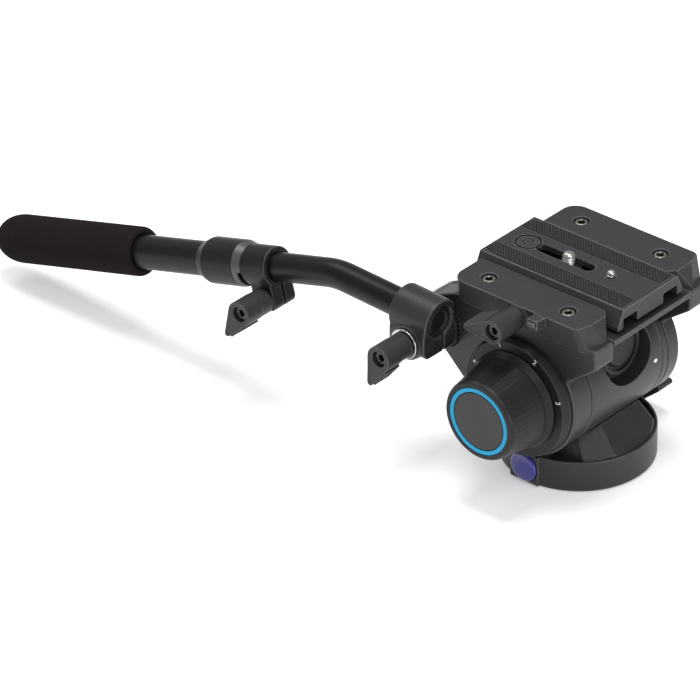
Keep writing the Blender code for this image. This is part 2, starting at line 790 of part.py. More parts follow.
def make_pan_housing():
    """Skirt with a badge boss, and the sloped neck that carries the drum."""
    profile = [
        (0.0, SKIRT_FLOOR),
        (SKIRT_RADIUS - SKIRT_LIP, SKIRT_FLOOR),
        (SKIRT_RADIUS - SKIRT_LIP, SKIRT_TOP),
        (SKIRT_RADIUS - SKIRT_EDGE / 2, SKIRT_TOP),
        (SKIRT_RADIUS, SKIRT_TOP - SKIRT_EDGE),
        (SKIRT_RADIUS, SKIRT_FOOT),
        (0.0, SKIRT_FOOT),
    ]
    housing = turned("pan_housing", profile, Z_AXIS, (0, 0, 0), "painted_alloy", FINE_STEPS)

    foot = chamfered_rectangle(NECK_FOOT_HALF_WIDTH, NECK_FOOT_HALF_DEPTH, NECK_FOOT_CORNER, NECK_OFFSET)
    waist = chamfered_rectangle(NECK_HALF_WIDTH, NECK_HALF_DEPTH, NECK_CORNER, NECK_OFFSET)
    neck = lofted("neck_form", [(NECK_FOOT, foot), (NECK_SLOPE_TOP, waist), (NECK_TOP, waist)])
    bevel(neck, NECK_EDGE, 1, 25.0)
    keep(neck, disc("neck_limit", SKIRT_RADIUS - SKIRT_LIP - SEAT_GAP, 0.0, NECK_TOP + OVERRUN,
                    Z_AXIS, (0, 0, 0), steps=FINE_STEPS))
    join(housing, neck)

    boss = block("badge_boss_form", (BOSS_ROOT, BOSS_REAR, SKIRT_FOOT), (BOSS_REACH, BOSS_FRONT, BOSS_TOP))
    bevel(boss, BOSS_EDGE)
    join(housing, boss)

    lock_boss = disc("pan_lock_boss_form", PAN_LOCK_BOSS_RADIUS, SKIRT_RADIUS / 2, PAN_LOCK_SEAT + SEAT_GAP,
                     LEFTWARD, (0.0, PAN_LOCK_ALONG, PAN_LOCK_HEIGHT))
    join(housing, lock_boss)

    # Room for the foot, the bearing, the hub and the nut
    plate_top = BASE_FLANGE + SEAT_GAP
    seat_top = plate_top + BEARING_HEIGHT + SEAT_GAP
    hub_hole = HUB_RADIUS + RUNNING_GAP
    nut_floor = HUB_HEIGHT
    profile = [
        (0.0, NUT_CHAMBER_TOP),
        (NUT_RADIUS + RUNNING_GAP, NUT_CHAMBER_TOP),
        (NUT_RADIUS + RUNNING_GAP, nut_floor),
        (hub_hole, nut_floor),
        (hub_hole, seat_top),
        (BEARING_OUTER + RUNNING_GAP, seat_top),
        (BEARING_OUTER + RUNNING_GAP, plate_top),
        (BASE_RADIUS + RUNNING_GAP, plate_top),
        (BASE_RADIUS + RUNNING_GAP, -OVERRUN),
        (0.0, -OVERRUN),
    ]
    cut(housing, turned("base_pocket", profile, Z_AXIS, (0, 0, 0), steps=FINE_STEPS))
    cut(housing, disc("drum_saddle", DRUM_RADIUS + SEAT_GAP, -SKIRT_RADIUS, SKIRT_RADIUS, X_AXIS,
                      at_tilt(0.0), steps=FINE_STEPS))
    cut(housing, disc("badge_pocket", BADGE_RADIUS + SEAT_GAP, BOSS_REACH - BADGE_DEPTH,
                      BOSS_REACH + OVERRUN, X_AXIS, (0.0, BADGE_ALONG, BADGE_HEIGHT)))
    cut(housing, disc("pan_lock_hole", LOCK_SCREW_RADIUS + SEAT_GAP, HUB_RADIUS, SKIRT_RADIUS + OVERRUN,
                      LEFTWARD, (0.0, PAN_LOCK_ALONG, PAN_LOCK_HEIGHT), steps=SMALL_STEPS))
    return smooth(housing)


def make_badge():
    """Blank domed badge in its pocket."""
    seat = BOSS_REACH - BADGE_DEPTH + SEAT_GAP
    rim = BOSS_REACH + BADGE_DEPTH / 3
    profile = [(0.0, rim + BADGE_CROWN)]
    for share in BADGE_DOME_SHARES:
        rise = BADGE_CROWN * math.sqrt(1.0 - share * share)
        profile.append((BADGE_RADIUS * share, rim + rise))
    profile += [(BADGE_RADIUS, rim), (BADGE_RADIUS, seat), (0.0, seat)]
    return turned("base_badge", profile, X_AXIS, (0.0, BADGE_ALONG, BADGE_HEIGHT), "badge_enamel")


def cap_frame():
    """Place and direction of the round cap on the drum's front."""
    pitch = math.radians(CAP_PITCH)
    direction = Vector((0.0, math.cos(pitch), math.sin(pitch)))
    place = Vector((0.0, 0.0, TILT_HEIGHT + CAP_RISE - CAP_FACE * math.tan(pitch)))
    return direction, place


def make_tilt_drum():
    """Fixed drum, bored for the tilt shaft and scooped at the front for its cap."""
    groove_right = DRUM_RIGHT - DRUM_GROOVE_INSET
    groove_left = DRUM_LEFT + DRUM_GROOVE_INSET
    profile = [
        (DRUM_RADIUS - DRUM_EDGE, DRUM_RIGHT),
        (DRUM_RADIUS, DRUM_RIGHT - DRUM_EDGE),
        (DRUM_RADIUS, groove_left),
        (DRUM_RADIUS - DRUM_GROOVE, groove_left - DRUM_GROOVE),
        (DRUM_RADIUS - DRUM_GROOVE, DRUM_LEFT + DRUM_EDGE),
        (DRUM_RADIUS - DRUM_EDGE - DRUM_GROOVE, DRUM_LEFT),
        (DRUM_BORE, DRUM_LEFT),
        (DRUM_BORE, DRUM_RIGHT),
    ]
    drum = turned("tilt_drum", profile, X_AXIS, at_tilt(0.0), "painted_alloy", FINE_STEPS, ring=True)
    direction, place = cap_frame()
    cut(drum, disc("cap_bore", CAP_RADIUS + SEAT_GAP, CAP_ROOT - SEAT_GAP, DRUM_RADIUS + CAP_RADIUS,
                   direction, place))
    cut(drum, disc("cap_scoop", SCOOP_RADIUS, SCOOP_FLOOR, DRUM_RADIUS + CAP_RADIUS, direction, place))
    return drum


def make_drum_cap():
    """Round stepped cap that closes the drum's front, trimmed to the tilt sweep."""
    direction, place = cap_frame()
    profile = [
        (0.0, CAP_FACE - CAP_STEP / 2),
        (CAP_DISC, CAP_FACE - CAP_STEP / 2),
        (CAP_DISC + CAP_STEP, CAP_FACE - 2 * CAP_STEP),
        (CAP_RING - CAP_STEP / 2, CAP_FACE - CAP_STEP),
        (CAP_RING, CAP_FACE),
        (CAP_RADIUS - CAP_STEP / 2, CAP_FACE),
        (CAP_RADIUS, CAP_FACE - CAP_STEP),
        (CAP_RADIUS, CAP_ROOT),
        (0.0, CAP_ROOT),
    ]
    cap = turned("drum_front_cap", profile, direction, place, "black_plastic")
    keep(cap, disc("cap_sweep", CAP_SWEEP, DRUM_LEFT, DRUM_RIGHT, X_AXIS, at_tilt(0.0), steps=FINE_STEPS))
    return smooth(cap)


def make_tilt_axle():
    profile = ring_profile(AXLE_RADIUS, AXLE_BORE, AXLE_END_INSET - LEFT_RING_OUTER, CHEEK_OUTER - AXLE_END_INSET)
    return turned("tilt_axle", profile, X_AXIS, at_tilt(0.0), "spring_steel", ring=True)


def make_tilt_bearing(name, outer_end, inward):
    low, high = sorted((outer_end, outer_end + inward * TILT_BEARING_WIDTH))
    profile = ring_profile(DRUM_BORE - SEAT_GAP, AXLE_RADIUS + SEAT_GAP, low, high)
    return turned(name, profile, X_AXIS, at_tilt(0.0), "bronze", ring=True)


def make_damper_disc():
    """Rotor of the fluid damper on the tilt shaft."""
    low = DRUM_LEFT + TILT_BEARING_WIDTH + 2 * RUNNING_GAP
    profile = ring_profile(DAMPER_RADIUS, AXLE_RADIUS + SEAT_GAP, low, low + DAMPER_WIDTH)
    return turned("damper_rotor", profile, X_AXIS, at_tilt(0.0), "black_plastic", ring=True)


def make_counterbalance_spring():
    """Coil around the tilt shaft, between the damper and the right bearing."""
    start = DRUM_LEFT + TILT_BEARING_WIDTH + DAMPER_WIDTH + 4 * RUNNING_GAP + SPRING_WIRE
    end = DRUM_RIGHT - TILT_BEARING_WIDTH - 2 * RUNNING_GAP - SPRING_WIRE
    radius = (AXLE_RADIUS + DRUM_BORE) / 2
    count = SPRING_TURNS * SPRING_POINTS
    points = []
    for index in range(count + 1):
        angle = 2 * math.pi * index / SPRING_POINTS
        across = start + (end - start) * index / count
        points.append((across, radius * math.cos(angle), TILT_HEIGHT + radius * math.sin(angle)))
    pitch = (end - start) / SPRING_TURNS
    print("least gap between the spring's turns", round(pitch - 2 * SPRING_WIRE, 5))
    return swept("counterbalance_spring", points, SPRING_WIRE, "spring_steel", 1)


def cheek_outline():
    """Side view of a cheek: a ring about the tilt axis, a front lug and a rear lug."""
    centre = (0.0, TILT_HEIGHT)
    rear = (ROSETTE_ALONG, ROSETTE_HEIGHT)
    heel = (LUG_HEEL_ALONG, LUG_HEEL_HEIGHT)
    front_angle = math.degrees(math.atan2(heel[1] - centre[1], heel[0] - centre[0]))
    outline = arc(centre, CHEEK_RING, RING_START_ANGLE, 360.0 + front_angle, RING_POINTS)
    outline.append((LUG_FRONT, LUG_FOOT))
    outline.append((LUG_FRONT, CHEEK_TOP))
    outline.append((CHEEK_TOP_REAR, CHEEK_TOP))
    outline += arc(rear, ROSETTE_LUG_RADIUS, LUG_START_ANGLE, LUG_END_ANGLE, LUG_POINTS)
    return outline


def make_cheek(name, side):
    """One tilting cheek; side is 1 on the right and -1 on the left."""
    inner = CHEEK_INNER if side > 0 else LEFT_INNER
    outer = CHEEK_OUTER if side > 0 else LEFT_OUTER
    low, high = sorted((side * inner, side * outer))
    cheek = extruded(name, cheek_outline(), low, high, "X", "painted_alloy")
    bevel(cheek, CHEEK_EDGE, 1, 30.0)
    direction = X_AXIS * side
    lug = disc(name + "_lug", ROSETTE_LUG_RADIUS - SEAT_GAP, outer - ROSETTE_LUG_WIDTH, outer - OVERRUN,
               direction, (0.0, ROSETTE_ALONG, ROSETTE_HEIGHT))
    join(cheek, lug)
    if side < 0:
        # The left ring is thinner than its lugs, to leave room for the drag knob
        recess = disc("left_ring_recess", CHEEK_RING + RUNNING_GAP, LEFT_RING_OUTER,
                      outer + OVERRUN, direction, at_tilt(0.0), steps=FINE_STEPS)
        cut(cheek, recess)
    pocket = disc(name + "_rosette_pocket", ROSETTE_RADIUS + SEAT_GAP,
                  outer - ROSETTE_THICKNESS, outer + OVERRUN,
                  direction, (0.0, ROSETTE_ALONG, ROSETTE_HEIGHT))
    cut(cheek, pocket)
    bolt = disc(name + "_bolt_hole", ROSETTE_HOLE, outer - ROSETTE_LUG_WIDTH - OVERRUN, outer,
                direction, (0.0, ROSETTE_ALONG, ROSETTE_HEIGHT), steps=SMALL_STEPS)
    cut(cheek, bolt)
    cut(cheek, disc(name + "_axle_hole", AXLE_RADIUS + SEAT_GAP, inner - OVERRUN, outer + OVERRUN,
                    direction, at_tilt(0.0)))
    if side < 0:
        lock = disc("tilt_lock_hole", LOCK_SCREW_RADIUS + SEAT_GAP, inner - OVERRUN, outer + OVERRUN,
                    direction, (0.0, TILT_LOCK_ALONG, TILT_LOCK_HEIGHT), steps=SMALL_STEPS)
        cut(cheek, lock)
    return smooth(cheek)


def make_rosette(name, face, side, finish):
    """Toothed disc; its teeth rise towards side and end at the face."""
    form = bmesh.new()
    count = ROSETTE_TEETH * 2
    root = ROSETTE_HOLE + SEAT_GAP
    rings = {"root_back": [], "rim_back": [], "rim_front": [], "root_front": []}
    for index in range(count):
        angle = 2 * math.pi * index / count
        across, up = math.cos(angle), math.sin(angle)
        crest = 0.0 if index % 2 else -ROSETTE_TOOTH
        rings["root_back"].append(form.verts.new((root * across, root * up, -ROSETTE_THICKNESS)))
        rings["rim_back"].append(form.verts.new((ROSETTE_RADIUS * across, ROSETTE_RADIUS * up,
                                                 -ROSETTE_THICKNESS)))
        rings["rim_front"].append(form.verts.new((ROSETTE_RADIUS * across, ROSETTE_RADIUS * up, crest)))
        rings["root_front"].append(form.verts.new((root * across, root * up, -ROSETTE_TOOTH)))
    order = ["root_back", "rim_back", "rim_front", "root_front"]
    for first, second in zip(order, order[1:] + order[:1]):
        for index in range(count):
            after = (index + 1) % count
            form.faces.new((rings[first][index], rings[first][after],
                            rings[second][after], rings[second][index]))
    bmesh.ops.recalc_face_normals(form, faces=form.faces)
    mesh = bpy.data.meshes.new(name)
    form.to_mesh(mesh)
    form.free()
    rosette = add_object(name, mesh, finish)
    return turn_to(rosette, X_AXIS * side, (face, ROSETTE_ALONG, ROSETTE_HEIGHT))


def make_tilt_slab():
    """Flat top between the cheeks that the platform is screwed to."""
    left = SEAT_GAP - LEFT_INNER
    slab = block("tilt_top_slab", (left, SLAB_REAR, SLAB_UNDERSIDE),
                 (CHEEK_INNER - SEAT_GAP, SLAB_FRONT, CHEEK_TOP), "painted_alloy")
    return bevel(slab, SLAB_EDGE)


def make_dial_ring():
    """Numbered ring on the right cheek, around the counterbalance knob."""
    profile = [
        (DIAL_FACE_RADIUS, DIAL_OUTER),
        (DIAL_RADIUS, CHEEK_OUTER + DIAL_THICKNESS / 3),
        (DIAL_RADIUS, CHEEK_OUTER + SEAT_GAP),
        (DIAL_BORE, CHEEK_OUTER + SEAT_GAP),
        (DIAL_BORE, DIAL_OUTER),
    ]
    return turned("counterbalance_dial", profile, X_AXIS, at_tilt(0.0), "black_plastic",
                  FINE_STEPS, ring=True)


def fluted(name, profile, flutes, depth, fluted_rows, direction, place, finish):
    """A turned knob whose listed profile rows are drawn in between its flutes."""
    form = bmesh.new()
    count = flutes * FLUTE_POINTS
    rows = []
    for row, (radius, height) in enumerate(profile):
        if radius == 0.0:
            rows.append([form.verts.new((0.0, 0.0, height))])
            continue
        ring = []
        for index in range(count):
            angle = 2 * math.pi * index / count
            drawn = depth * (1 - math.cos(flutes * angle)) / 2 if row in fluted_rows else 0.0
            ring.append(form.verts.new(((radius - drawn) * math.cos(angle),
                                        (radius - drawn) * math.sin(angle), height)))
        rows.append(ring)
    for upper, lower in zip(rows, rows[1:]):
        for index in range(count):
            after = (index + 1) % count
            if len(upper) == 1:
                form.faces.new((upper[0], lower[index], lower[after]))
            elif len(lower) == 1:
                form.faces.new((upper[after], upper[index], lower[0]))
            else:
                form.faces.new((upper[index], lower[index], lower[after], upper[after]))
    bmesh.ops.recalc_face_normals(form, faces=form.faces)
    mesh = bpy.data.meshes.new(name)
    form.to_mesh(mesh)
    form.free()
    return smooth(turn_to(add_object(name, mesh, finish), direction, place))


def make_counterbalance_knob():
    """Stepped, tapered and fluted knob with a recessed face."""
    back = DIAL_OUTER + RUNNING_GAP
    skirt_end = back + KNOB_SKIRT_WIDTH
    neck_end = skirt_end + KNOB_NECK_WIDTH
    face_floor = KNOB_FACE - TRIM_THICKNESS
    nose = KNOB_FACE - KNOB_RIM_ROUND
    middle = (neck_end + nose) / 2
    profile = [
        (0.0, face_floor),
        (TRIM_OUTER + SEAT_GAP, face_floor),
        (TRIM_OUTER + SEAT_GAP, KNOB_FACE),
        (KNOB_RIM_RADIUS, KNOB_FACE),
        (KNOB_NOSE_RADIUS, nose),
        (KNOB_NOSE_RADIUS + SEAT_GAP, nose - KNOB_RIM_ROUND),
        ((KNOB_NOSE_RADIUS + KNOB_GRIP_RADIUS) / 2, middle),
        (KNOB_GRIP_RADIUS, neck_end + KNOB_NECK_WIDTH),
        (KNOB_GRIP_RADIUS, neck_end),
        (KNOB_NECK_RADIUS, neck_end),
        (KNOB_NECK_RADIUS, skirt_end),
        (KNOB_SKIRT_RADIUS, skirt_end),
        (KNOB_SKIRT_RADIUS, back),
        (KNOB_BORE, back),
        (KNOB_BORE, back + KNOB_BORE_DEPTH),
        (0.0, back + KNOB_BORE_DEPTH),
    ]
    return fluted("counterbalance_knob", profile, KNOB_FLUTES, KNOB_FLUTE_DEPTH, (5, 6, 7),
                  X_AXIS, at_tilt(0.0), "black_plastic")


def make_knob_trim():
    low = KNOB_FACE - TRIM_THICKNESS + SEAT_GAP
    profile = ring_profile(TRIM_OUTER, TRIM_INNER, low, KNOB_FACE)
    return turned("knob_trim_ring", profile, X_AXIS, at_tilt(0.0), "blue_trim", FINE_STEPS, ring=True)


def make_knob_face():
    low = KNOB_FACE - TRIM_THICKNESS + SEAT_GAP
    return disc("knob_face_disc", FACE_RADIUS, low, low + FACE_THICKNESS - SEAT_GAP, X_AXIS,
                at_tilt(0.0), "grey_disc")


def make_knob_shaft():
    """Shaft that takes the counterbalance setting through the hollow axle."""
    end = DIAL_OUTER + RUNNING_GAP + KNOB_BORE_DEPTH - SEAT_GAP
    return disc("counterbalance_shaft", KNOB_SHAFT_RADIUS, KNOB_SHAFT_START, end, X_AXIS,
                at_tilt(0.0), "spring_steel", SMALL_STEPS)


def make_drag_knob():
    """Low fluted knob on the left end of the tilt axis."""
    back = LEFT_RING_OUTER + RUNNING_GAP
    face = back + DRAG_WIDTH
    round_edge = (DRAG_RADIUS - DRAG_NOSE) / 2
    profile = [
        (0.0, face),
        (DRAG_NOSE, face),
        (DRAG_RADIUS - round_edge, face - round_edge),
        (DRAG_RADIUS, face - 2 * round_edge),
        (DRAG_RADIUS, back + round_edge),
        (DRAG_RADIUS - round_edge, back),
        (KNOB_BORE, back),
        (KNOB_BORE, face - 2 * round_edge),
        (0.0, face - 2 * round_edge),
    ]
    return fluted("tilt_drag_knob", profile, DRAG_FLUTES, KNOB_FLUTE_DEPTH, (3, 4), LEFTWARD,
                  at_tilt(0.0), "black_plastic")


def make_drag_shaft():
    end = LEFT_RING_OUTER + RUNNING_GAP + DRAG_WIDTH - (DRAG_RADIUS - DRAG_NOSE) - SEAT_GAP
    return disc("tilt_drag_shaft", DRAG_SHAFT_RADIUS, -(DRUM_LEFT + TILT_BEARING_WIDTH), end, LEFTWARD,
                at_tilt(0.0), "spring_steel", SMALL_STEPS)


def platform_outline(nose_half, front, shoulder, half_width, side_front):
    """Plan of the platform at one height, from the front around to the left."""
    corner = PLATFORM_REAR_CORNER
    right = [(nose_half, front), shoulder, (half_width, side_front)]
    rear_centre = (half_width - corner, PLATFORM_REAR + corner)
    right += arc(rear_centre, corner, 0.0, -90.0, 5)
    left = [(-across, along) for across, along in reversed(right)]
    return right + left


def make_platform():
    """Plate receiver: two wings with a dovetail channel between them."""
    foot = platform_outline(NOSE_FOOT_HALF, PLATFORM_FRONT_FOOT, (SHOULDER_FOOT_OUT, SHOULDER_FOOT_ALONG),
                            PLATFORM_FOOT_HALF_WIDTH, SIDE_FOOT_FRONT)
    top = platform_outline(NOSE_TOP_HALF, PLATFORM_FRONT_TOP, (SHOULDER_TOP_OUT, SHOULDER_TOP_ALONG),
                           PLATFORM_HALF_WIDTH, SIDE_FRONT)
    platform = lofted("platform", [(PLATFORM_FOOT, foot), (PLATFORM_TOP, top)], "painted_alloy")
    bevel(platform, CHEEK_EDGE, 1, 50.0)

    root = PLATFORM_HALF_WIDTH - OVERRUN
    tab_outline = [(root, TAB_REAR), (TAB_REACH, TAB_REAR), (TAB_REACH, TAB_SHOULDER), (root, TAB_FRONT)]
    tab = extruded("tab_form", tab_outline, TAB_TOP - TAB_DEPTH, TAB_TOP, "Z")
    join(platform, bevel(tab, CHEEK_EDGE, 1, 50.0))
    join(platform, disc("lock_boss_form", LOCK_BOSS_RADIUS, LOCK_BOSS_ROOT, LOCK_BOSS_FACE, X_AXIS,
                        (0.0, LOCK_ALONG, LOCK_HEIGHT)))

    channel = [
        (CHANNEL_FLOOR, CHANNEL_FOOT_HALF), (CHANNEL_FLOOR + CHANNEL_LIP, CHANNEL_FOOT_HALF),
        (PLATFORM_TOP, CHANNEL_TOP_HALF), (PLATFORM_TOP + OVERRUN, CHANNEL_TOP_HALF),
        (PLATFORM_TOP + OVERRUN, -CHANNEL_TOP_HALF), (PLATFORM_TOP, -CHANNEL_TOP_HALF),
        (CHANNEL_FLOOR + CHANNEL_LIP, -CHANNEL_FOOT_HALF), (CHANNEL_FLOOR, -CHANNEL_FOOT_HALF),
    ]
    cut(platform, extruded("channel_form", channel, PLATFORM_REAR - OVERRUN,
                           PLATFORM_FRONT_FOOT + OVERRUN, "Y"))
    for side in (1, -1):
        wedge = [
            (side * CHANNEL_TOP_HALF / 2, WING_CHAMFER_ALONG),
            (side * CHANNEL_TOP_HALF, WING_CHAMFER_ALONG),
            (side * WING_CHAMFER_OUT, PLATFORM_FRONT_FOOT + SEAT_GAP),
            (side * CHANNEL_TOP_HALF / 2, PLATFORM_FRONT_FOOT + OVERRUN),
        ]
        cut(platform, extruded("wing_chamfer_%d" % (side + 1), wedge, CHANNEL_FLOOR + SEAT_GAP,
                               PLATFORM_TOP + OVERRUN, "Z"))

    # Pocket for the jaw, and the hole for its screw
    room = JAW_TRAVEL + SEAT_GAP
    jaw_pocket = block("jaw_pocket",
                       (CHANNEL_TOP_HALF - OVERRUN, LOCK_ALONG - JAW_HALF_LENGTH - SEAT_GAP,
                        CHANNEL_FLOOR - SEAT_GAP),
                       (JAW_OUTER + room, LOCK_ALONG + JAW_HALF_LENGTH + SEAT_GAP,
                        PLATFORM_TOP - CHANNEL_LIP / 2))
    cut(platform, jaw_pocket)
    cut(platform, disc("plate_lock_hole", LOCK_SCREW_RADIUS + SEAT_GAP, JAW_OUTER - OVERRUN,
                       TAB_REACH + OVERRUN, X_AXIS, (0.0, LOCK_ALONG, LOCK_HEIGHT), steps=SMALL_STEPS))
    room = SEAT_GAP
    cut(platform, block("button_hole",
                        (TAB_REACH - BUTTON_LENGTH + BUTTON_STAND - BUTTON_TRAVEL - room,
                         BUTTON_ALONG - BUTTON_HALF_LENGTH - room, BUTTON_HEIGHT - BUTTON_HALF_HEIGHT - room),
                        (TAB_REACH + OVERRUN, BUTTON_ALONG + BUTTON_HALF_LENGTH + room,
                         BUTTON_HEIGHT + BUTTON_HALF_HEIGHT + room)))
    for number, (across, along) in enumerate(screw_places(), 1):
        profile = [
            (0.0, PLATFORM_TOP + OVERRUN),
            (SCREW_POCKET_RADIUS, PLATFORM_TOP + OVERRUN),
            (SCREW_POCKET_RADIUS, PLATFORM_TOP - SCREW_POCKET_DEPTH),
            (SCREW_SHANK_RADIUS + SEAT_GAP, PLATFORM_TOP - SCREW_POCKET_DEPTH),
            (SCREW_SHANK_RADIUS + SEAT_GAP, PLATFORM_FOOT - OVERRUN),
            (0.0, PLATFORM_FOOT - OVERRUN),
        ]
        cut(platform, turned("screw_pocket_%d" % number, profile, Z_AXIS, (across, along, 0.0),
                             steps=SMALL_STEPS))
    return smooth(platform)


def screw_places():
    return [(across, along) for across in (SCREW_ACROSS, -SCREW_ACROSS) for along in (SCREW_FRONT, SCREW_REAR)]


def make_platform_screw(number, across, along):
    """Socket screw sunk in a wing, down into the cheek below it."""
    head_foot = PLATFORM_TOP - SCREW_POCKET_DEPTH + SEAT_GAP
    head_top = head_foot + SCREW_HEAD_HEIGHT
    profile = [
        (0.0, head_top - SCREW_SOCKET_DEPTH),
        (SCREW_SOCKET_RADIUS, head_top - SCREW_SOCKET_DEPTH),
        (SCREW_SOCKET_RADIUS, head_top),
        (SCREW_HEAD_RADIUS - SEAT_GAP, head_top),
        (SCREW_HEAD_RADIUS, head_top - SEAT_GAP),
        (SCREW_HEAD_RADIUS, head_foot),
        (SCREW_SHANK_RADIUS, head_foot),
        (SCREW_SHANK_RADIUS, SCREW_REACH),
        (0.0, SCREW_REACH),
    ]
    return turned("platform_screw_%d" % number, profile, Z_AXIS, (across, along, 0.0),
                  "bright_steel", SMALL_STEPS)


def cut_screw_holes(cheek, side):
    for across, along in screw_places():
        if across * side > 0:
            hole = disc(cheek.name + "_screw_hole_%d" % round(along * 1000), SCREW_SHANK_RADIUS + SEAT_GAP,
                        SCREW_REACH - SEAT_GAP, CHEEK_TOP + OVERRUN, Z_AXIS, (across, along, 0.0),
                        steps=SMALL_STEPS)
            cut(cheek, hole)


def make_plate():
    """Sliding camera plate with dovetail flanks, a screw slot and two runner grooves."""
    section = [
        (PLATE_FOOT, PLATE_FOOT_HALF), (PLATE_FLANK_FOOT, PLATE_FOOT_HALF), (PLATE_TOP, PLATE_TOP_HALF),
        (PLATE_TOP, -PLATE_TOP_HALF), (PLATE_FLANK_FOOT, -PLATE_FOOT_HALF), (PLATE_FOOT, -PLATE_FOOT_HALF),
        (PLATE_FOOT, -PLATE_NOTCH_OUTER), (PLATE_NOTCH_TOP, -PLATE_NOTCH_OUTER),
        (PLATE_NOTCH_TOP, -PLATE_NOTCH_INNER), (PLATE_FOOT, -PLATE_NOTCH_INNER),
        (PLATE_FOOT, PLATE_NOTCH_INNER), (PLATE_NOTCH_TOP, PLATE_NOTCH_INNER),
        (PLATE_NOTCH_TOP, PLATE_NOTCH_OUTER), (PLATE_FOOT, PLATE_NOTCH_OUTER),
    ]
    plate = extruded("quick_release_plate", section, PLATE_REAR, PLATE_FRONT, "Y", "painted_alloy")
    bevel(plate, PLATE_EDGE, 1, 35.0)
    for side in (1, -1):
        pocket = extruded("strip_pocket_%d" % (side + 1), strip_outline(side, SEAT_GAP),
                          PLATE_TOP - STRIP_POCKET, PLATE_TOP + OVERRUN, "Z")
        cut(plate, pocket)
    slot = arc((0.0, SLOT_FRONT), SLOT_RADIUS, 0.0, 180.0, 8) + arc((0.0, SLOT_REAR), SLOT_RADIUS, 180.0, 360.0, 8)
    cut(plate, extruded("screw_slot", slot, PLATE_FOOT - OVERRUN, PLATE_TOP + OVERRUN, "Z"))
    track_front, track_rear = SLOT_FRONT, SLOT_REAR
    track = (arc((0.0, track_front), TRACK_RADIUS, 0.0, 180.0, 10)
             + arc((0.0, track_rear), TRACK_RADIUS, 180.0, 360.0, 10))
    cut(plate, extruded("screw_track", track, PLATE_FOOT - OVERRUN, TRACK_TOP, "Z"))
    profile = ring_profile(PARK_RADIUS, PARK_POST_RADIUS, PLATE_TOP - PARK_DEPTH, PLATE_TOP + OVERRUN)
    cut(plate, turned("park_ring", profile, Z_AXIS, (0.0, PARK_ALONG, 0.0), steps=MEDIUM_STEPS, ring=True))
    profile = ring_profile(PARK_EYE_RADIUS, PARK_EYE_RADIUS - 2 * SEAT_GAP, PLATE_TOP - PARK_EYE_DEPTH,
                           PLATE_TOP + OVERRUN)
    cut(plate, turned("park_eye", profile, Z_AXIS, (0.0, PARK_ALONG, 0.0), steps=SMALL_STEPS, ring=True))
    cut(plate, disc("pin_hole", PIN_RADIUS + SEAT_GAP, PLATE_FOOT - OVERRUN, PLATE_TOP + OVERRUN, Z_AXIS,
                    (0.0, PIN_ALONG, 0.0), steps=SMALL_STEPS))
    cut(plate, disc("pin_well", PIN_WELL_RADIUS, PLATE_FOOT - OVERRUN, PIN_WELL_TOP, Z_AXIS,
                    (0.0, PIN_ALONG, 0.0), steps=SMALL_STEPS))
    return smooth(plate)


def strip_outline(side, grow):
    """Plan of a grip strip: a long bar with its outer rear corner cut away."""
    inner, outer = STRIP_INNER - grow, STRIP_OUTER + grow
    rear, front = STRIP_REAR - grow, STRIP_FRONT + grow
    outline = [(inner, rear), (outer - STRIP_CUT_ACROSS, rear), (outer, rear + STRIP_CUT_ALONG),
               (outer, front), (inner, front)]
    return [(side * across, along) for across, along in outline]


def make_strip(name, side):
    low = PLATE_TOP - STRIP_POCKET + SEAT_GAP
    return extruded(name, strip_outline(side, 0.0), low, low + STRIP_THICKNESS, "Z", "rubber")


def make_camera_screw():
    """Quarter-inch camera screw with its head in the plate's track."""
    top = PLATE_TOP + CAMERA_SCREW_STAND
    head_top = TRACK_TOP - WASHER_GAP - WASHER_THICKNESS - SEAT_GAP
    profile = [
        (0.0, top),
        (CAMERA_SCREW_RADIUS / 2, top - CAMERA_SCREW_DOME / 3),
        (CAMERA_SCREW_RADIUS - SEAT_GAP, top - CAMERA_SCREW_DOME),
        (CAMERA_SCREW_RADIUS, top - 2 * CAMERA_SCREW_DOME),
        (CAMERA_SCREW_RADIUS, head_top),
        (CAMERA_SCREW_HEAD, head_top),
        (CAMERA_SCREW_HEAD, head_top - CAMERA_SCREW_HEAD_HEIGHT),
        (0.0, head_top - CAMERA_SCREW_HEAD_HEIGHT),
    ]
    return turned("camera_screw", profile, Z_AXIS, (0.0, CAMERA_SCREW_ALONG, 0.0), "bright_steel", MEDIUM_STEPS)


def make_screw_washer():
    low = TRACK_TOP - WASHER_GAP - WASHER_THICKNESS
    profile = ring_profile(WASHER_RADIUS, CAMERA_SCREW_RADIUS + SEAT_GAP, low, low + WASHER_THICKNESS)
    return turned("camera_screw_washer", profile, Z_AXIS, (0.0, CAMERA_SCREW_ALONG, 0.0),
                  "spring_steel", MEDIUM_STEPS, ring=True)


def make_video_pin():
    """Sprung locating pin with a flange that keeps it in the plate."""
    top = PLATE_TOP + PIN_STAND
    flange_top = PIN_WELL_TOP - SEAT_GAP
    profile = [
        (0.0, top),
        (PIN_RADIUS / 2, top - PIN_RADIUS / 4),
        (PIN_RADIUS - SEAT_GAP, top - PIN_RADIUS / 2),
        (PIN_RADIUS, top - PIN_RADIUS),
        (PIN_RADIUS, flange_top),
        (PIN_FLANGE_RADIUS, flange_top),
        (PIN_FLANGE_RADIUS, flange_top - PIN_FLANGE_HEIGHT),
        (0.0, flange_top - PIN_FLANGE_HEIGHT),
    ]
    return turned("video_pin", profile, Z_AXIS, (0.0, PIN_ALONG, 0.0), "bright_steel", SMALL_STEPS)


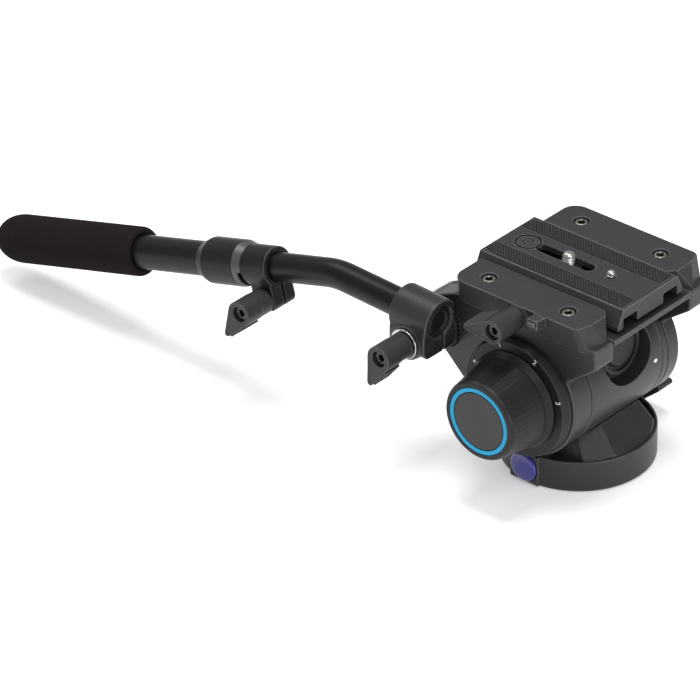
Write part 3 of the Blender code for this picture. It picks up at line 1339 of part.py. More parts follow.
def make_jaw():
    """Dovetail jaw beside the plate."""
    section = [
        (CHANNEL_FLOOR + SEAT_GAP, JAW_INNER), (CHANNEL_FLOOR + CHANNEL_LIP, JAW_INNER),
        (PLATFORM_TOP - CHANNEL_LIP, JAW_INNER - SEAT_GAP),
        (PLATFORM_TOP - CHANNEL_LIP, JAW_OUTER), (CHANNEL_FLOOR + SEAT_GAP, JAW_OUTER),
    ]
    return extruded("plate_lock_jaw", section, LOCK_ALONG - JAW_HALF_LENGTH, LOCK_ALONG + JAW_HALF_LENGTH,
                    "Y", "bright_steel")


def make_release_button():
    tip = TAB_REACH + BUTTON_STAND
    button = block("release_button",
                   (tip - BUTTON_LENGTH, BUTTON_ALONG - BUTTON_HALF_LENGTH, BUTTON_HEIGHT - BUTTON_HALF_HEIGHT),
                   (tip, BUTTON_ALONG + BUTTON_HALF_LENGTH, BUTTON_HEIGHT + BUTTON_HALF_HEIGHT), "spring_steel")
    return smooth(bevel(button, PLATE_EDGE, 1, 50.0))


def wing_outline(angle, ridged_side):
    """Face of a wing knob: a round hub drawn out to a small round tip, ridged along one side."""
    hub, tip = WING_HUB_RADIUS, WING_TIP_RADIUS
    reach = WING_LENGTH - tip
    lean = math.degrees(math.acos((hub - tip) / reach))
    tip_centre = (reach, 0.0)
    outline = arc(tip_centre, tip, -lean, lean, WING_TIP_POINTS)
    start = polar(tip_centre, tip, lean)
    end = polar((0.0, 0.0), hub, lean)
    run = Vector((end[0] - start[0], end[1] - start[1]))
    out = Vector((math.cos(math.radians(lean)), math.sin(math.radians(lean))))
    pitch = run.length * WING_RIDGED_SHARE / WING_RIDGES
    along = run.normalized()
    for index in range(WING_RIDGES):
        begin = pitch * (index + WING_RIDGE_LEAD_SHARE)
        for share, rise in WING_RIDGE_SHARES:
            point = Vector(start) + along * (begin + pitch * share) + out * (WING_RIDGE_HEIGHT * rise)
            outline.append((point.x, point.y))
    outline += arc((0.0, 0.0), hub, lean, 360.0 - lean, WING_HUB_POINTS)
    turn = math.radians(angle)
    placed = []
    for across, up in outline:
        up = up * ridged_side
        placed.append((across * math.cos(turn) - up * math.sin(turn),
                       across * math.sin(turn) + up * math.cos(turn)))
    if ridged_side < 0:
        placed.reverse()
    return placed


def make_wing_knob(name, seat, side, along, height, angle, ridged_side=1):
    """Wing knob on an axis across the head; seat is the distance out of its inner end."""
    place = (0.0, along, height)
    outline = [(y + along, z + height) for y, z in wing_outline(angle, ridged_side)]
    face = seat + WING_KNOB_LENGTH
    low, high = sorted((side * (face - WING_THICKNESS), side * face))
    knob = extruded(name, outline, low, high, "X", "black_plastic")
    join(knob, disc(name + "_barrel", WING_BARREL_RADIUS, seat, face - WING_THICKNESS / 2,
                    X_AXIS * side, place, steps=MEDIUM_STEPS))
    profile = [
        (0.0, face + OVERRUN),
        (WING_RECESS_RADIUS, face + OVERRUN),
        (WING_RECESS_RADIUS, face - WING_RECESS_DEPTH),
        (WING_BORE_RADIUS + SEAT_GAP, face - WING_RECESS_DEPTH),
        (WING_BORE_RADIUS + SEAT_GAP, seat - OVERRUN),
        (0.0, seat - OVERRUN),
    ]
    cut(knob, turned(name + "_bore", profile, X_AXIS * side, place, steps=SMALL_STEPS))
    return smooth(knob)


def make_lock_screw(name, seat, side, along, height, tip, radius=LOCK_SCREW_RADIUS):
    """Screw through a wing knob, with its head in the knob's recess."""
    head_foot = seat + WING_KNOB_LENGTH - WING_RECESS_DEPTH + SEAT_GAP
    head_top = head_foot + LOCK_SCREW_HEAD_HEIGHT
    profile = [
        (0.0, head_top - LOCK_SCREW_HEAD_HEIGHT / 2),
        (radius / 2, head_top - LOCK_SCREW_HEAD_HEIGHT / 2),
        (radius / 2, head_top),
        (LOCK_SCREW_HEAD_RADIUS - SEAT_GAP, head_top),
        (LOCK_SCREW_HEAD_RADIUS, head_top - SEAT_GAP),
        (LOCK_SCREW_HEAD_RADIUS, head_foot),
        (radius, head_foot),
        (radius, tip),
        (0.0, tip),
    ]
    return turned(name, profile, X_AXIS * side, (0.0, along, height), "bright_steel", SMALL_STEPS)


def make_handle_clamp():
    """Block on the right rosette: a split sleeve for the tube above a tapered bolt boss."""
    tube_place = TUBE_FRONT
    length = (CLAMP_FRONT - CLAMP_REAR) / -NEAR_LEG.y
    clamp = disc("handle_clamp", CLAMP_SLEEVE_RADIUS, 0.0, length, NEAR_LEG, tube_place, "painted_alloy")
    bevel(clamp, CLAMP_EDGE, 1, 50.0)
    bolt = (0.0, ROSETTE_ALONG, ROSETTE_HEIGHT)
    join(clamp, cone("clamp_boss_form", CLAMP_ROOT_RADIUS, CLAMP_NOSE_RADIUS, CLAMP_INNER, CLAMP_OUTER,
                     X_AXIS, bolt))
    web_outer = CLAMP_OUTER - SEAT_GAP
    web_foot = TUBE_FRONT_HEIGHT - CLAMP_WEB_DEPTH
    web_outline = [
        (TUBE_FRONT_HEIGHT, CLAMP_INNER), (TUBE_FRONT_HEIGHT, HANDLE_ACROSS + CLAMP_SLEEVE_RADIUS - SEAT_GAP),
        (TUBE_FRONT_HEIGHT - CLAMP_WEB_WAIST, web_outer), (web_foot + CLAMP_WEB_CORNER, web_outer),
        (web_foot, web_outer - CLAMP_WEB_CORNER), (web_foot, CLAMP_INNER),
    ]
    web = extruded("clamp_web_form", web_outline, CLAMP_REAR + CLAMP_EDGE, CLAMP_FRONT - CLAMP_EDGE / 2, "Y")
    join(clamp, bevel(web, CLAMP_EDGE, 1, 50.0))
    cut(clamp, disc("rosette_side_room", CLAMP_ROOT_RADIUS + CLAMP_SLEEVE_RADIUS, 0.0, CLAMP_INNER,
                    X_AXIS, bolt))
    cut(clamp, disc("clamp_tube_bore", TUBE_RADIUS + SEAT_GAP, -OVERRUN, length + OVERRUN, NEAR_LEG,
                    tube_place))
    slit_across = HANDLE_ACROSS + CLAMP_SLIT_SHIFT
    slit = block("clamp_slit", (slit_across - CLAMP_SLIT / 2, CLAMP_REAR - OVERRUN,
                                ROSETTE_HEIGHT - CLAMP_ROOT_RADIUS - OVERRUN),
                 (slit_across + CLAMP_SLIT / 2, CLAMP_FRONT + OVERRUN, TUBE_FRONT_HEIGHT))
    cut(clamp, slit)
    cut(clamp, disc("clamp_bolt_hole", HANDLE_SCREW_RADIUS + SEAT_GAP, CLAMP_INNER - OVERRUN,
                    CLAMP_OUTER + OVERRUN, X_AXIS, bolt, steps=SMALL_STEPS))
    return smooth(clamp)


def make_handle_washer():
    low = CLAMP_OUTER + SEAT_GAP
    profile = ring_profile(HANDLE_WASHER_RADIUS, HANDLE_SCREW_RADIUS + SEAT_GAP, low,
                           low + HANDLE_WASHER_THICKNESS)
    return turned("handle_washer", profile, X_AXIS, (0.0, ROSETTE_ALONG, ROSETTE_HEIGHT),
                  "bright_steel", MEDIUM_STEPS, ring=True)


def tube_path():
    """Points of the bent tube: a short near leg, one bend, and the far leg."""
    turn = math.radians(TUBE_RISE + TUBE_DROP)
    tangent = BEND_RADIUS * math.tan(turn / 2)
    start = BEND - NEAR_LEG * tangent
    inward = Vector((0.0, -NEAR_LEG.z, NEAR_LEG.y))
    centre = start + inward * BEND_RADIUS
    points = [TUBE_FRONT + NEAR_LEG * (TUBE_FRONT_INSET + PLUG_THICKNESS)]
    for index in range(BEND_POINTS + 1):
        angle = turn * index / BEND_POINTS
        points.append(centre - inward * (BEND_RADIUS * math.cos(angle)) + NEAR_LEG * (BEND_RADIUS * math.sin(angle)))
    points.append(on_far_leg(TUBE_REACH))
    return [tuple(point) for point in points]


def make_inner_tube():
    return swept("inner_tube", tube_path(), TUBE_RADIUS, "anodised_alloy", 3, TUBE_RADIUS - TUBE_WALL)


def make_tube_plug():
    """Dished plug in the front end of the tube."""
    front = PLUG_THICKNESS - SEAT_GAP
    profile = [
        (0.0, front - TUBE_WALL),
        (TUBE_RADIUS - 2 * TUBE_WALL, front - TUBE_WALL),
        (TUBE_RADIUS - TUBE_WALL, front),
        (TUBE_RADIUS - SEAT_GAP, front),
        (TUBE_RADIUS, front - SEAT_GAP),
        (TUBE_RADIUS, 0.0),
        (0.0, 0.0),
    ]
    place = TUBE_FRONT + NEAR_LEG * (TUBE_FRONT_INSET + PLUG_THICKNESS - SEAT_GAP)
    return turned("tube_end_plug", profile, -NEAR_LEG, place, "black_plastic", MEDIUM_STEPS)


def make_outer_tube():
    start = COLLAR_BORE_END + SEAT_GAP
    end = GRIP_END - GRIP_END_WALL - SEAT_GAP
    bore = SLEEVE_RADIUS - SLEEVE_WALL
    profile = ring_profile(SLEEVE_RADIUS, bore, start, end)
    return turned("outer_tube", profile, FAR_LEG, BEND, "anodised_alloy", ROUND_STEPS, ring=True)


def make_collar():
    """Split collar: a sleeve on the outer tube and a jaw that grips the inner one."""
    bore_front = TUBE_RADIUS + SEAT_GAP
    bore_rear = SLEEVE_RADIUS + SEAT_GAP
    profile = [
        (COLLAR_REAR_RADIUS, COLLAR_REAR),
        (COLLAR_RADIUS, COLLAR_BODY_END),
        (COLLAR_RADIUS, COLLAR_SHOULDER),
        (COLLAR_JAW_RADIUS, COLLAR_JAW_END),
        (COLLAR_JAW_RADIUS, COLLAR_FRONT),
        (bore_front, COLLAR_FRONT),
        (bore_front, COLLAR_BORE_END),
        (bore_rear, COLLAR_BORE_END),
        (bore_rear, COLLAR_REAR),
    ]
    collar = turned("extension_collar", profile, FAR_LEG, BEND, "painted_alloy", ring=True)

    # The ears hang below the jaw, and are drawn flat and then turned to the far leg
    half = COLLAR_EAR_HALF_WIDTH
    corner = COLLAR_EAR_CORNER
    foot = COLLAR_EAR_DROP
    start = COLLAR_FRONT + SEAT_GAP
    ears = block("collar_ears_form", (-half, -foot, -start - COLLAR_EAR_LENGTH), (half, -TUBE_RADIUS, -start))
    ears.data.transform(Matrix.Translation(ears.location))
    ears.location = (0.0, 0.0, 0.0)
    bevel(ears, corner / 2, 1, 50.0)
    place_on_far_leg(ears)
    join(collar, ears)

    clear_bore = disc("collar_clear_bore", bore_front, COLLAR_FRONT - OVERRUN, COLLAR_BORE_END, FAR_LEG, BEND)
    cut(collar, clear_bore)
    slit = block("collar_slit", (-COLLAR_SLIT / 2, -foot - OVERRUN, -RELIEF_START - RELIEF_WIDTH / 2),
                 (COLLAR_SLIT / 2, 0.0, -COLLAR_FRONT + OVERRUN))
    slit.data.transform(Matrix.Translation(slit.location))
    slit.location = (0.0, 0.0, 0.0)
    cut(collar, place_on_far_leg(slit))

    # Relief cut around the lower half that lets the jaw close
    relief = block("collar_relief", (-COLLAR_RADIUS - OVERRUN, -COLLAR_RADIUS - OVERRUN, -RELIEF_START - RELIEF_WIDTH),
                   (COLLAR_RADIUS + OVERRUN, -RELIEF_DROP, -RELIEF_START))
    relief.data.transform(Matrix.Translation(relief.location))
    relief.location = (0.0, 0.0, 0.0)
    cut(collar, place_on_far_leg(relief))

    bolt_place = on_far_leg(COLLAR_LOCK_ALONG, COLLAR_LOCK_DROP)
    cut(collar, disc("collar_bolt_hole", LOCK_SCREW_RADIUS + SEAT_GAP, -half - OVERRUN, half + OVERRUN,
                     X_AXIS, bolt_place, steps=SMALL_STEPS))
    return smooth(collar)


def place_on_far_leg(obj):
    """Set a form drawn with Y up and -Z along the handle onto the far leg."""
    turn = Matrix((X_AXIS, FAR_LEG_UP, -FAR_LEG)).transposed().to_4x4()
    obj.matrix_world = Matrix.Translation(BEND) @ turn
    return obj


def make_foam_grip():
    """Foam sleeve with a domed closed end."""
    shoulder = GRIP_END - GRIP_DOME
    profile = [(0.0, GRIP_END)]
    for index in range(1, DOME_POINTS):
        angle = math.pi / 2 * index / DOME_POINTS
        profile.append((GRIP_RADIUS * math.sin(angle) ** GRIP_DOME_POWER, shoulder + GRIP_DOME * math.cos(angle)))
    bore = SLEEVE_RADIUS + SEAT_GAP
    profile += [
        (GRIP_RADIUS, shoulder),
        (GRIP_RADIUS, GRIP_START + GRIP_FRONT_ROUND),
        (GRIP_RADIUS - GRIP_FRONT_ROUND / 3, GRIP_START + GRIP_FRONT_ROUND / 3),
        (GRIP_RADIUS - GRIP_FRONT_ROUND, GRIP_START),
        (bore, GRIP_START),
        (bore, GRIP_END - GRIP_END_WALL),
        (0.0, GRIP_END - GRIP_END_WALL),
    ]
    return turned("foam_grip", profile, FAR_LEG, BEND, "foam")


def build():
    """Make every piece and hang it on the axis that it turns about or slides along."""
    base = [make_pan_base_plate(), make_tripod_thread_insert(), make_pan_retaining_nut(), make_pan_bearing()]

    pan = [
        make_pan_housing(), make_badge(), make_tilt_drum(), make_drum_cap(),
        make_tilt_bearing("tilt_bearing_right", DRUM_RIGHT, -1),
        make_tilt_bearing("tilt_bearing_left", DRUM_LEFT, 1),
        make_counterbalance_spring(),
    ]
    pan_lock = [
        make_wing_knob("pan_lock_knob", PAN_LOCK_SEAT + 2 * SEAT_GAP, -1, PAN_LOCK_ALONG, PAN_LOCK_HEIGHT,
                       PAN_LOCK_ANGLE, 1),
        make_lock_screw("pan_lock_screw", PAN_LOCK_SEAT + 2 * SEAT_GAP, -1, PAN_LOCK_ALONG,
                        PAN_LOCK_HEIGHT, HUB_RADIUS + LOCK_SCREW_RADIUS),
    ]

    right_cheek = make_cheek("right_cheek", 1)
    left_cheek = make_cheek("left_cheek", -1)
    cut_screw_holes(right_cheek, 1)
    cut_screw_holes(left_cheek, -1)
    tilt = [
        right_cheek, left_cheek, make_tilt_slab(), make_platform(), make_tilt_axle(), make_damper_disc(),
        make_dial_ring(),
        make_rosette("right_rosette", ROSETTE_FACE, 1, "spring_steel"),
        make_rosette("left_rosette", -LEFT_OUTER - SEAT_GAP, -1, "spring_steel"),
    ]
    for number, (across, along) in enumerate(screw_places(), 1):
        tilt.append(make_platform_screw(number, across, along))
    knob = [make_counterbalance_knob(), make_knob_trim(), make_knob_face(), make_knob_shaft()]
    drag = [make_drag_knob(), make_drag_shaft()]
    tilt_lock_seat = LEFT_OUTER + SEAT_GAP
    tilt_lock = [
        make_wing_knob("tilt_lock_knob", tilt_lock_seat, -1, TILT_LOCK_ALONG, TILT_LOCK_HEIGHT,
                       TILT_LOCK_ANGLE, 1),
        make_lock_screw("tilt_lock_screw", tilt_lock_seat, -1, TILT_LOCK_ALONG, TILT_LOCK_HEIGHT,
                        LEFT_OUTER - LOCK_SCREW_BITE),
    ]

    lock_seat = LOCK_BOSS_FACE + RUNNING_GAP
    plate_lock = [
        make_wing_knob("plate_lock_knob", lock_seat, 1, LOCK_ALONG, LOCK_HEIGHT, PLATE_LOCK_ANGLE, -1),
        make_lock_screw("plate_lock_screw", lock_seat, 1, LOCK_ALONG, LOCK_HEIGHT,
                        JAW_OUTER + JAW_TRAVEL + SEAT_GAP),
    ]
    jaw = make_jaw()
    button = make_release_button()

    plate = [make_plate(), make_strip("grip_strip_right", 1), make_strip("grip_strip_left", -1)]
    washer = make_screw_washer()
    screw = make_camera_screw()
    pin = make_video_pin()

    handle_seat = CLAMP_OUTER + HANDLE_WASHER_THICKNESS + 2 * SEAT_GAP
    handle = [
        make_handle_clamp(), make_rosette("handle_rosette", CLAMP_INNER - ROSETTE_THICKNESS - SEAT_GAP, -1,
                                          "spring_steel"),
        make_inner_tube(), make_tube_plug(),
    ]
    handle_lock = [
        make_wing_knob("handle_lock_knob", handle_seat, 1, ROSETTE_ALONG, ROSETTE_HEIGHT, HANDLE_LOCK_ANGLE, 1),
        make_lock_screw("handle_lock_screw", handle_seat, 1, ROSETTE_ALONG, ROSETTE_HEIGHT,
                        ROSETTE_LUG_INNER, HANDLE_SCREW_RADIUS - SEAT_GAP),
        make_handle_washer(),
    ]
    extension = [make_outer_tube(), make_collar(), make_foam_grip()]
    collar_place = on_far_leg(COLLAR_LOCK_ALONG, COLLAR_LOCK_DROP)
    collar_seat = HANDLE_ACROSS + COLLAR_EAR_HALF_WIDTH + SEAT_GAP
    collar_lock = [
        make_wing_knob("collar_lock_knob", collar_seat, 1, collar_place.y, collar_place.z,
                       COLLAR_LOCK_ANGLE, 1),
        make_lock_screw("collar_lock_screw", collar_seat, 1, collar_place.y, collar_place.z,
                        HANDLE_ACROSS - COLLAR_EAR_HALF_WIDTH),
    ]

    pan_axis = joint_axis("pan_axis", (0.0, 0.0, 0.0))
    parent_to(pan_axis, *pan)
    tilt_axis = joint_axis("tilt_axis", at_tilt(0.0), pan_axis)
    parent_to(tilt_axis, *tilt)
    parent_to(joint_axis("pan_lock_axis", (-PAN_LOCK_SEAT, PAN_LOCK_ALONG, PAN_LOCK_HEIGHT), pan_axis),
              *pan_lock)
    parent_to(joint_axis("counterbalance_axis", at_tilt(DIAL_OUTER), tilt_axis), *knob)
    parent_to(joint_axis("tilt_drag_axis", at_tilt(-LEFT_RING_OUTER), tilt_axis), *drag)
    parent_to(joint_axis("tilt_lock_axis", (-LEFT_OUTER, TILT_LOCK_ALONG, TILT_LOCK_HEIGHT), tilt_axis),
              *tilt_lock)
    parent_to(joint_axis("plate_lock_axis", (lock_seat, LOCK_ALONG, LOCK_HEIGHT), tilt_axis), *plate_lock)
    parent_to(joint_axis("jaw_slide", (JAW_INNER, LOCK_ALONG, LOCK_HEIGHT), tilt_axis), jaw)
    parent_to(joint_axis("button_slide", (TAB_REACH, BUTTON_ALONG, BUTTON_HEIGHT), tilt_axis), button)
    plate_slide = joint_axis("plate_slide", (0.0, 0.0, PLATE_FOOT), tilt_axis)
    parent_to(plate_slide, *plate)
    screw_slide = joint_axis("screw_slide", (0.0, CAMERA_SCREW_ALONG, TRACK_TOP), plate_slide)
    parent_to(screw_slide, washer)
    parent_to(joint_axis("screw_axis", (0.0, CAMERA_SCREW_ALONG, TRACK_TOP), screw_slide), screw)
    parent_to(joint_axis("pin_slide", (0.0, PIN_ALONG, PLATE_TOP), plate_slide), pin)
    handle_axis = joint_axis("handle_axis", (ROSETTE_FACE, ROSETTE_ALONG, ROSETTE_HEIGHT), tilt_axis)
    parent_to(handle_axis, *handle)
    parent_to(joint_axis("handle_lock_axis", (handle_seat, ROSETTE_ALONG, ROSETTE_HEIGHT), handle_axis),
              *handle_lock)
    extension_slide = joint_axis("extension_slide", tuple(on_far_leg(COLLAR_FRONT)), handle_axis)
    parent_to(extension_slide, *extension)
    parent_to(joint_axis("collar_lock_axis", (collar_seat, collar_place.y, collar_place.z), extension_slide),
              *collar_lock)
    return base


build()
bpy.context.view_layer.update()
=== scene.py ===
import json
import math

import bmesh
import bpy
from mathutils import Matrix, Vector, noise


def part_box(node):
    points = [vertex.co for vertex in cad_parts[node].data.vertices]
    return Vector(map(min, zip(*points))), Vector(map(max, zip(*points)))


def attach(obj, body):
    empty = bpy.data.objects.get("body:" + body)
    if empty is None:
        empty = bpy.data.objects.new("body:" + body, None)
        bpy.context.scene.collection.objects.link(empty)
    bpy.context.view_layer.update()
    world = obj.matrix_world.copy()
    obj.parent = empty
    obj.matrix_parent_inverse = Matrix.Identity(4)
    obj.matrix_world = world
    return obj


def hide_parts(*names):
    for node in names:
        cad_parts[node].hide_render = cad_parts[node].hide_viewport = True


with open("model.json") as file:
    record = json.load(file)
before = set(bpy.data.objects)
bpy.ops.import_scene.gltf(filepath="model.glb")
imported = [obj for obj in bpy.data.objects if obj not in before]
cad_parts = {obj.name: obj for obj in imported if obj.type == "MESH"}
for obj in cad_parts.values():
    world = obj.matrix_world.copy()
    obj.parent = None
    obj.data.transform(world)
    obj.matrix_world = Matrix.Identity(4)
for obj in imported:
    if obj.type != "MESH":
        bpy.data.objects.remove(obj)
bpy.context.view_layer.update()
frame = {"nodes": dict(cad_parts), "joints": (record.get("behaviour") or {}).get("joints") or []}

mm = 0.001
xAxis, yAxis, zAxis = Vector((1, 0, 0)), Vector((0, 1, 0)), Vector((0, 0, 1))

shapes = {
    "around": 144,      # facets around the large round pieces
    "aroundSmall": 72,
    "voxel": 0.34,     # cell of the castings
    "voxelSmall": 0.2,  # cell of the knobs
    "arcStep": 14.0,
    "overrun": 5.0,
}


def cad(node):
    low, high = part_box(node)
    return low / mm, high / mm


def jointOf(name):
    return next(joint for joint in frame["joints"] if joint["name"] == name)


def jointPlace(name):
    return Vector(jointOf(name)["pos_m"]) / mm


def middleOf(node):
    low, high = cad(node)
    return (low + high) / 2


# mesh helpers


def link(name, data):
    obj = bpy.data.objects.new(name, data)
    bpy.context.scene.collection.objects.link(obj)
    return obj


def fromForm(name, form):
    bmesh.ops.recalc_face_normals(form, faces=form.faces)
    mesh = bpy.data.meshes.new(name)
    form.to_mesh(mesh)
    form.free()
    return link(name, mesh)


def settle(obj):
    # applies every modifier
    bpy.context.view_layer.update()
    evaluated = obj.evaluated_get(bpy.context.evaluated_depsgraph_get())
    mesh = bpy.data.meshes.new_from_object(evaluated)
    obj.modifiers.clear()
    old = obj.data
    obj.data = mesh
    bpy.data.meshes.remove(old)
    return obj


def drop(obj):
    mesh = obj.data
    bpy.data.objects.remove(obj, do_unlink=True)
    bpy.data.meshes.remove(mesh)


def placed(obj, axis, at):
    # turns the mesh's own Z to an axis and moves it
    turn = zAxis.rotation_difference(Vector(axis)).to_matrix().to_4x4()
    obj.data.transform(Matrix.Translation(at) @ turn)
    return obj


def roundCorners(points, closed=True):
    # corners are (a, b), (a, b, radius) or (a, b, radius, steps)
    rounded = []
    count = len(points)
    for index, point in enumerate(points):
        here = Vector(point[:2])
        radius = point[2] if len(point) > 2 else 0.0
        atEnd = not closed and index in (0, count - 1)
        before = Vector(points[index - 1][:2]) - here
        after = Vector(points[(index + 1) % count][:2]) - here
        if radius <= 0 or atEnd or before.length < 1e-6 or after.length < 1e-6:
            rounded.append(tuple(here))
            continue
        turn = math.pi - before.angle(after)
        if turn < 0.04:
            rounded.append(tuple(here))
            continue
        reach = min(radius * math.tan(turn / 2), 0.49 * before.length, 0.49 * after.length)
        radius = reach / math.tan(turn / 2)
        bisector = (before.normalized() + after.normalized()).normalized()
        middle = here + bisector * (radius / math.cos(turn / 2))
        start = here + before.normalized() * reach - middle
        sign = 1.0 if before.cross(after) < 0 else -1.0
        steps = point[3] if len(point) > 3 else max(2, math.ceil(math.degrees(turn) / shapes["arcStep"]))
        for step in range(steps + 1):
            angle = sign * turn * step / steps
            rounded.append((middle.x + start.x * math.cos(angle) - start.y * math.sin(angle),
                            middle.y + start.x * math.sin(angle) + start.y * math.cos(angle)))
    return rounded


def arc(centre, radius, start, end, count):
    points = []
    for index in range(count + 1):
        angle = math.radians(start + (end - start) * index / count)
        points.append((centre[0] + radius * math.cos(angle), centre[1] + radius * math.sin(angle)))
    return points


def polar(centre, radius, angle):
    turn = math.radians(angle)
    return (centre[0] + radius * math.cos(turn), centre[1] + radius * math.sin(turn))


def circleRow(radius, height, steps):
    turns = [2 * math.pi * index / steps for index in range(steps)]
    return [(radius * math.cos(turn), radius * math.sin(turn), height) for turn in turns]


def stepped(steps, foot):
    # profile of a bore or pocket from its (radius, roof) steps, top first
    profile = [(0, steps[0][1])]
    floors = [roof for radius, roof in steps[1:]] + [foot]
    for (radius, roof), floor in zip(steps, floors):
        profile += [(radius, roof), (radius, floor)]
    return profile + [(0, foot)]


def skinned(name, rows, closed=False, wrap=True):
    # quads between rows of points; a row of one point is a pole
    form = bmesh.new()
    made = [[form.verts.new(point) for point in row] for row in rows]
    pairs = list(zip(made, made[1:]))
    if closed:
        pairs.append((made[-1], made[0]))
    for first, second in pairs:
        count = max(len(first), len(second))
        for index in range(count if wrap else count - 1):
            after = (index + 1) % count
            if len(first) == 1:
                form.faces.new((first[0], second[index], second[after]))
            elif len(second) == 1:
                form.faces.new((first[after], first[index], second[0]))
            else:
                form.faces.new((first[index], second[index], second[after], first[after]))
    if not closed:
        for row in (made[0], made[-1]):
            if len(row) > 2:
                form.faces.new(row)
    return fromForm(name, form)


def turned(name, profile, steps=None, ring=False, axis=zAxis, at=(0, 0, 0), flutes=0, depth=0.0, fluted=None):
    # profile of (radius, height[, rounding]) turned about the axis; flutes draw the rim in between heights
    steps = steps or shapes["around"]
    if flutes:
        steps = max(steps, flutes * 14)
    rows = []
    for radius, height in roundCorners(profile, ring):
        if radius < 1e-6:
            rows.append([(0.0, 0.0, height)])
            continue
        share = fluted(radius, height) if flutes else 0.0
        row = []
        for index in range(steps):
            angle = 2 * math.pi * index / steps
            drawn = radius - depth * share * (1 - math.cos(flutes * angle)) / 2
            row.append((drawn * math.cos(angle), drawn * math.sin(angle), height))
        rows.append(row)
    return placed(skinned(name, rows, ring), axis, at)


planes = {
    "X": Matrix(((0, 0, 1, 0), (1, 0, 0, 0), (0, 1, 0, 0), (0, 0, 0, 1))),
    "Y": Matrix(((0, 1, 0, 0), (0, 0, 1, 0), (1, 0, 0, 0), (0, 0, 0, 1))),
    "Z": Matrix.Identity(4),
}


def softEdges(obj, width, segments=3, angle=32.0):
    change = obj.modifiers.new("edges", "BEVEL")
    change.width = width
    change.segments = segments
    change.limit_method = "ANGLE"
    change.angle_limit = math.radians(angle)
    return settle(obj)


def extruded(name, outline, low, high, plane, edge=0.0):
    points = roundCorners(outline)
    obj = skinned(name, [[(a, b, low) for a, b in points], [(a, b, high) for a, b in points]])
    obj.data.transform(planes[plane])
    return softEdges(obj, edge) if edge else obj


def bar(name, radius, low, high, axis, at, edge=0.0, steps=None):
    profile = [(0, high), (radius, high, edge), (radius, low, edge), (0, low)]
    return turned(name, profile, steps, axis=axis, at=at)


def block(name, low, high, edge=0.0):
    outline = [(low[0], low[1]), (high[0], low[1]), (high[0], high[1]), (low[0], high[1])]
    return extruded(name, outline, low[2], high[2], "Z", edge)


def shaped(base, joins=(), cuts=(), keeps=(), voxel=None, soften=4):
    # booleans in the order joins, cuts, keeps, then cells with softened edges when voxel is given
    tools = []
    for operation, group in (("UNION", joins), ("DIFFERENCE", cuts), ("INTERSECT", keeps)):
        for tool in group:
            change = base.modifiers.new(tool.name, "BOOLEAN")
            change.operation = operation
            change.object = tool
            change.solver = "MANIFOLD"
            tools.append(tool)
    if voxel:
        cells = base.modifiers.new("cells", "REMESH")
        cells.mode = "VOXEL"
        cells.voxel_size = voxel
        soft = base.modifiers.new("soften", "SMOOTH")
        soft.factor = 0.5
        soft.iterations = soften
    settle(base)
    for tool in tools:
        drop(tool)
    return base


def tubeAlong(name, points, radius, bore=0.0, steps=None):
    # round bar or tube along points that lie in a plane across X
    steps = steps or shapes["aroundSmall"]
    rows, inner = [], []
    places = [Vector(point) for point in points]
    for index, here in enumerate(places):
        before = places[max(index - 1, 0)]
        after = places[min(index + 1, len(places) - 1)]
        up = (after - before).normalized().cross(xAxis)
        for group, size in ((rows, radius), (inner, bore)):
            group.append([tuple(here + xAxis * (size * math.cos(turn)) + up * (size * math.sin(turn)))
                          for turn in (2 * math.pi * step / steps for step in range(steps))])
    if bore:
        return skinned(name, rows + inner[::-1], closed=True)
    return skinned(name, rows)


# finishes


def addNode(tree, kind, operation=None, **inputs):
    made = tree.nodes.new(kind)
    if operation:
        made.operation = operation
    for key, value in inputs.items():
        made.inputs[key].default_value = value
    return made


def addGroup(tree, group, values):
    made = addNode(tree, "ShaderNodeGroup")
    made.node_tree = group
    for label, value in values.items():
        made.inputs[label].default_value = value
    return made


def addMix(tree, **colours):
    made = addNode(tree, "ShaderNodeMix")
    made.data_type = "RGBA"
    for side, colour in colours.items():
        made.inputs[side].default_value = (*colour, 1.0)
    return made


def wire(tree, *links):
    # each link is a node, its output, the next node and its input
    for source, output, target, socket in links:
        tree.links.new(source.outputs[output], target.inputs[socket])


def newGroup(name, inputs, outputs):
    # a shader group whose sockets are all numbers
    group = bpy.data.node_groups.new(name, "ShaderNodeTree")
    for label, value in inputs.items():
        socket = group.interface.new_socket(name=label, in_out="INPUT", socket_type="NodeSocketFloat")
        socket.default_value = value
    for label in outputs:
        group.interface.new_socket(name=label, in_out="OUTPUT", socket_type="NodeSocketFloat")
    return group, group.nodes.new("NodeGroupInput"), group.nodes.new("NodeGroupOutput")


grainSizes = {"Grain Scale": 6000.0, "Mottle Scale": 60.0, "Detail": 2.0}
# sizes and ramps of the painted edge highlight
highlightSizes = {"Reach": 0.8 * mm, "Break Up": 0.35, "Scale": 400.0}
# ends of the ramps on the rounded normal's turn, on the pointiness and on the noise
highlightRamps = ((0.998, 0.95), (0.502, 0.514), (0.35, 0.65))


def makeGrainGroup():
    # fine powder-coat grain with a slower mottle under it
    group, source, result = newGroup("coatGrain", grainSizes, ["Height", "Mottle"])
    place = addNode(group, "ShaderNodeTexCoord")
    grain = addNode(group, "ShaderNodeTexNoise", Roughness=0.6)
    mottle = addNode(group, "ShaderNodeTexNoise", Detail=2.0)
    wire(group, (place, "Object", grain, "Vector"), (place, "Object", mottle, "Vector"),
         (source, "Grain Scale", grain, "Scale"), (source, "Detail", grain, "Detail"),
         (source, "Mottle Scale", mottle, "Scale"), (grain, "Fac", result, "Height"),
         (mottle, "Fac", result, "Mottle"))
    return group


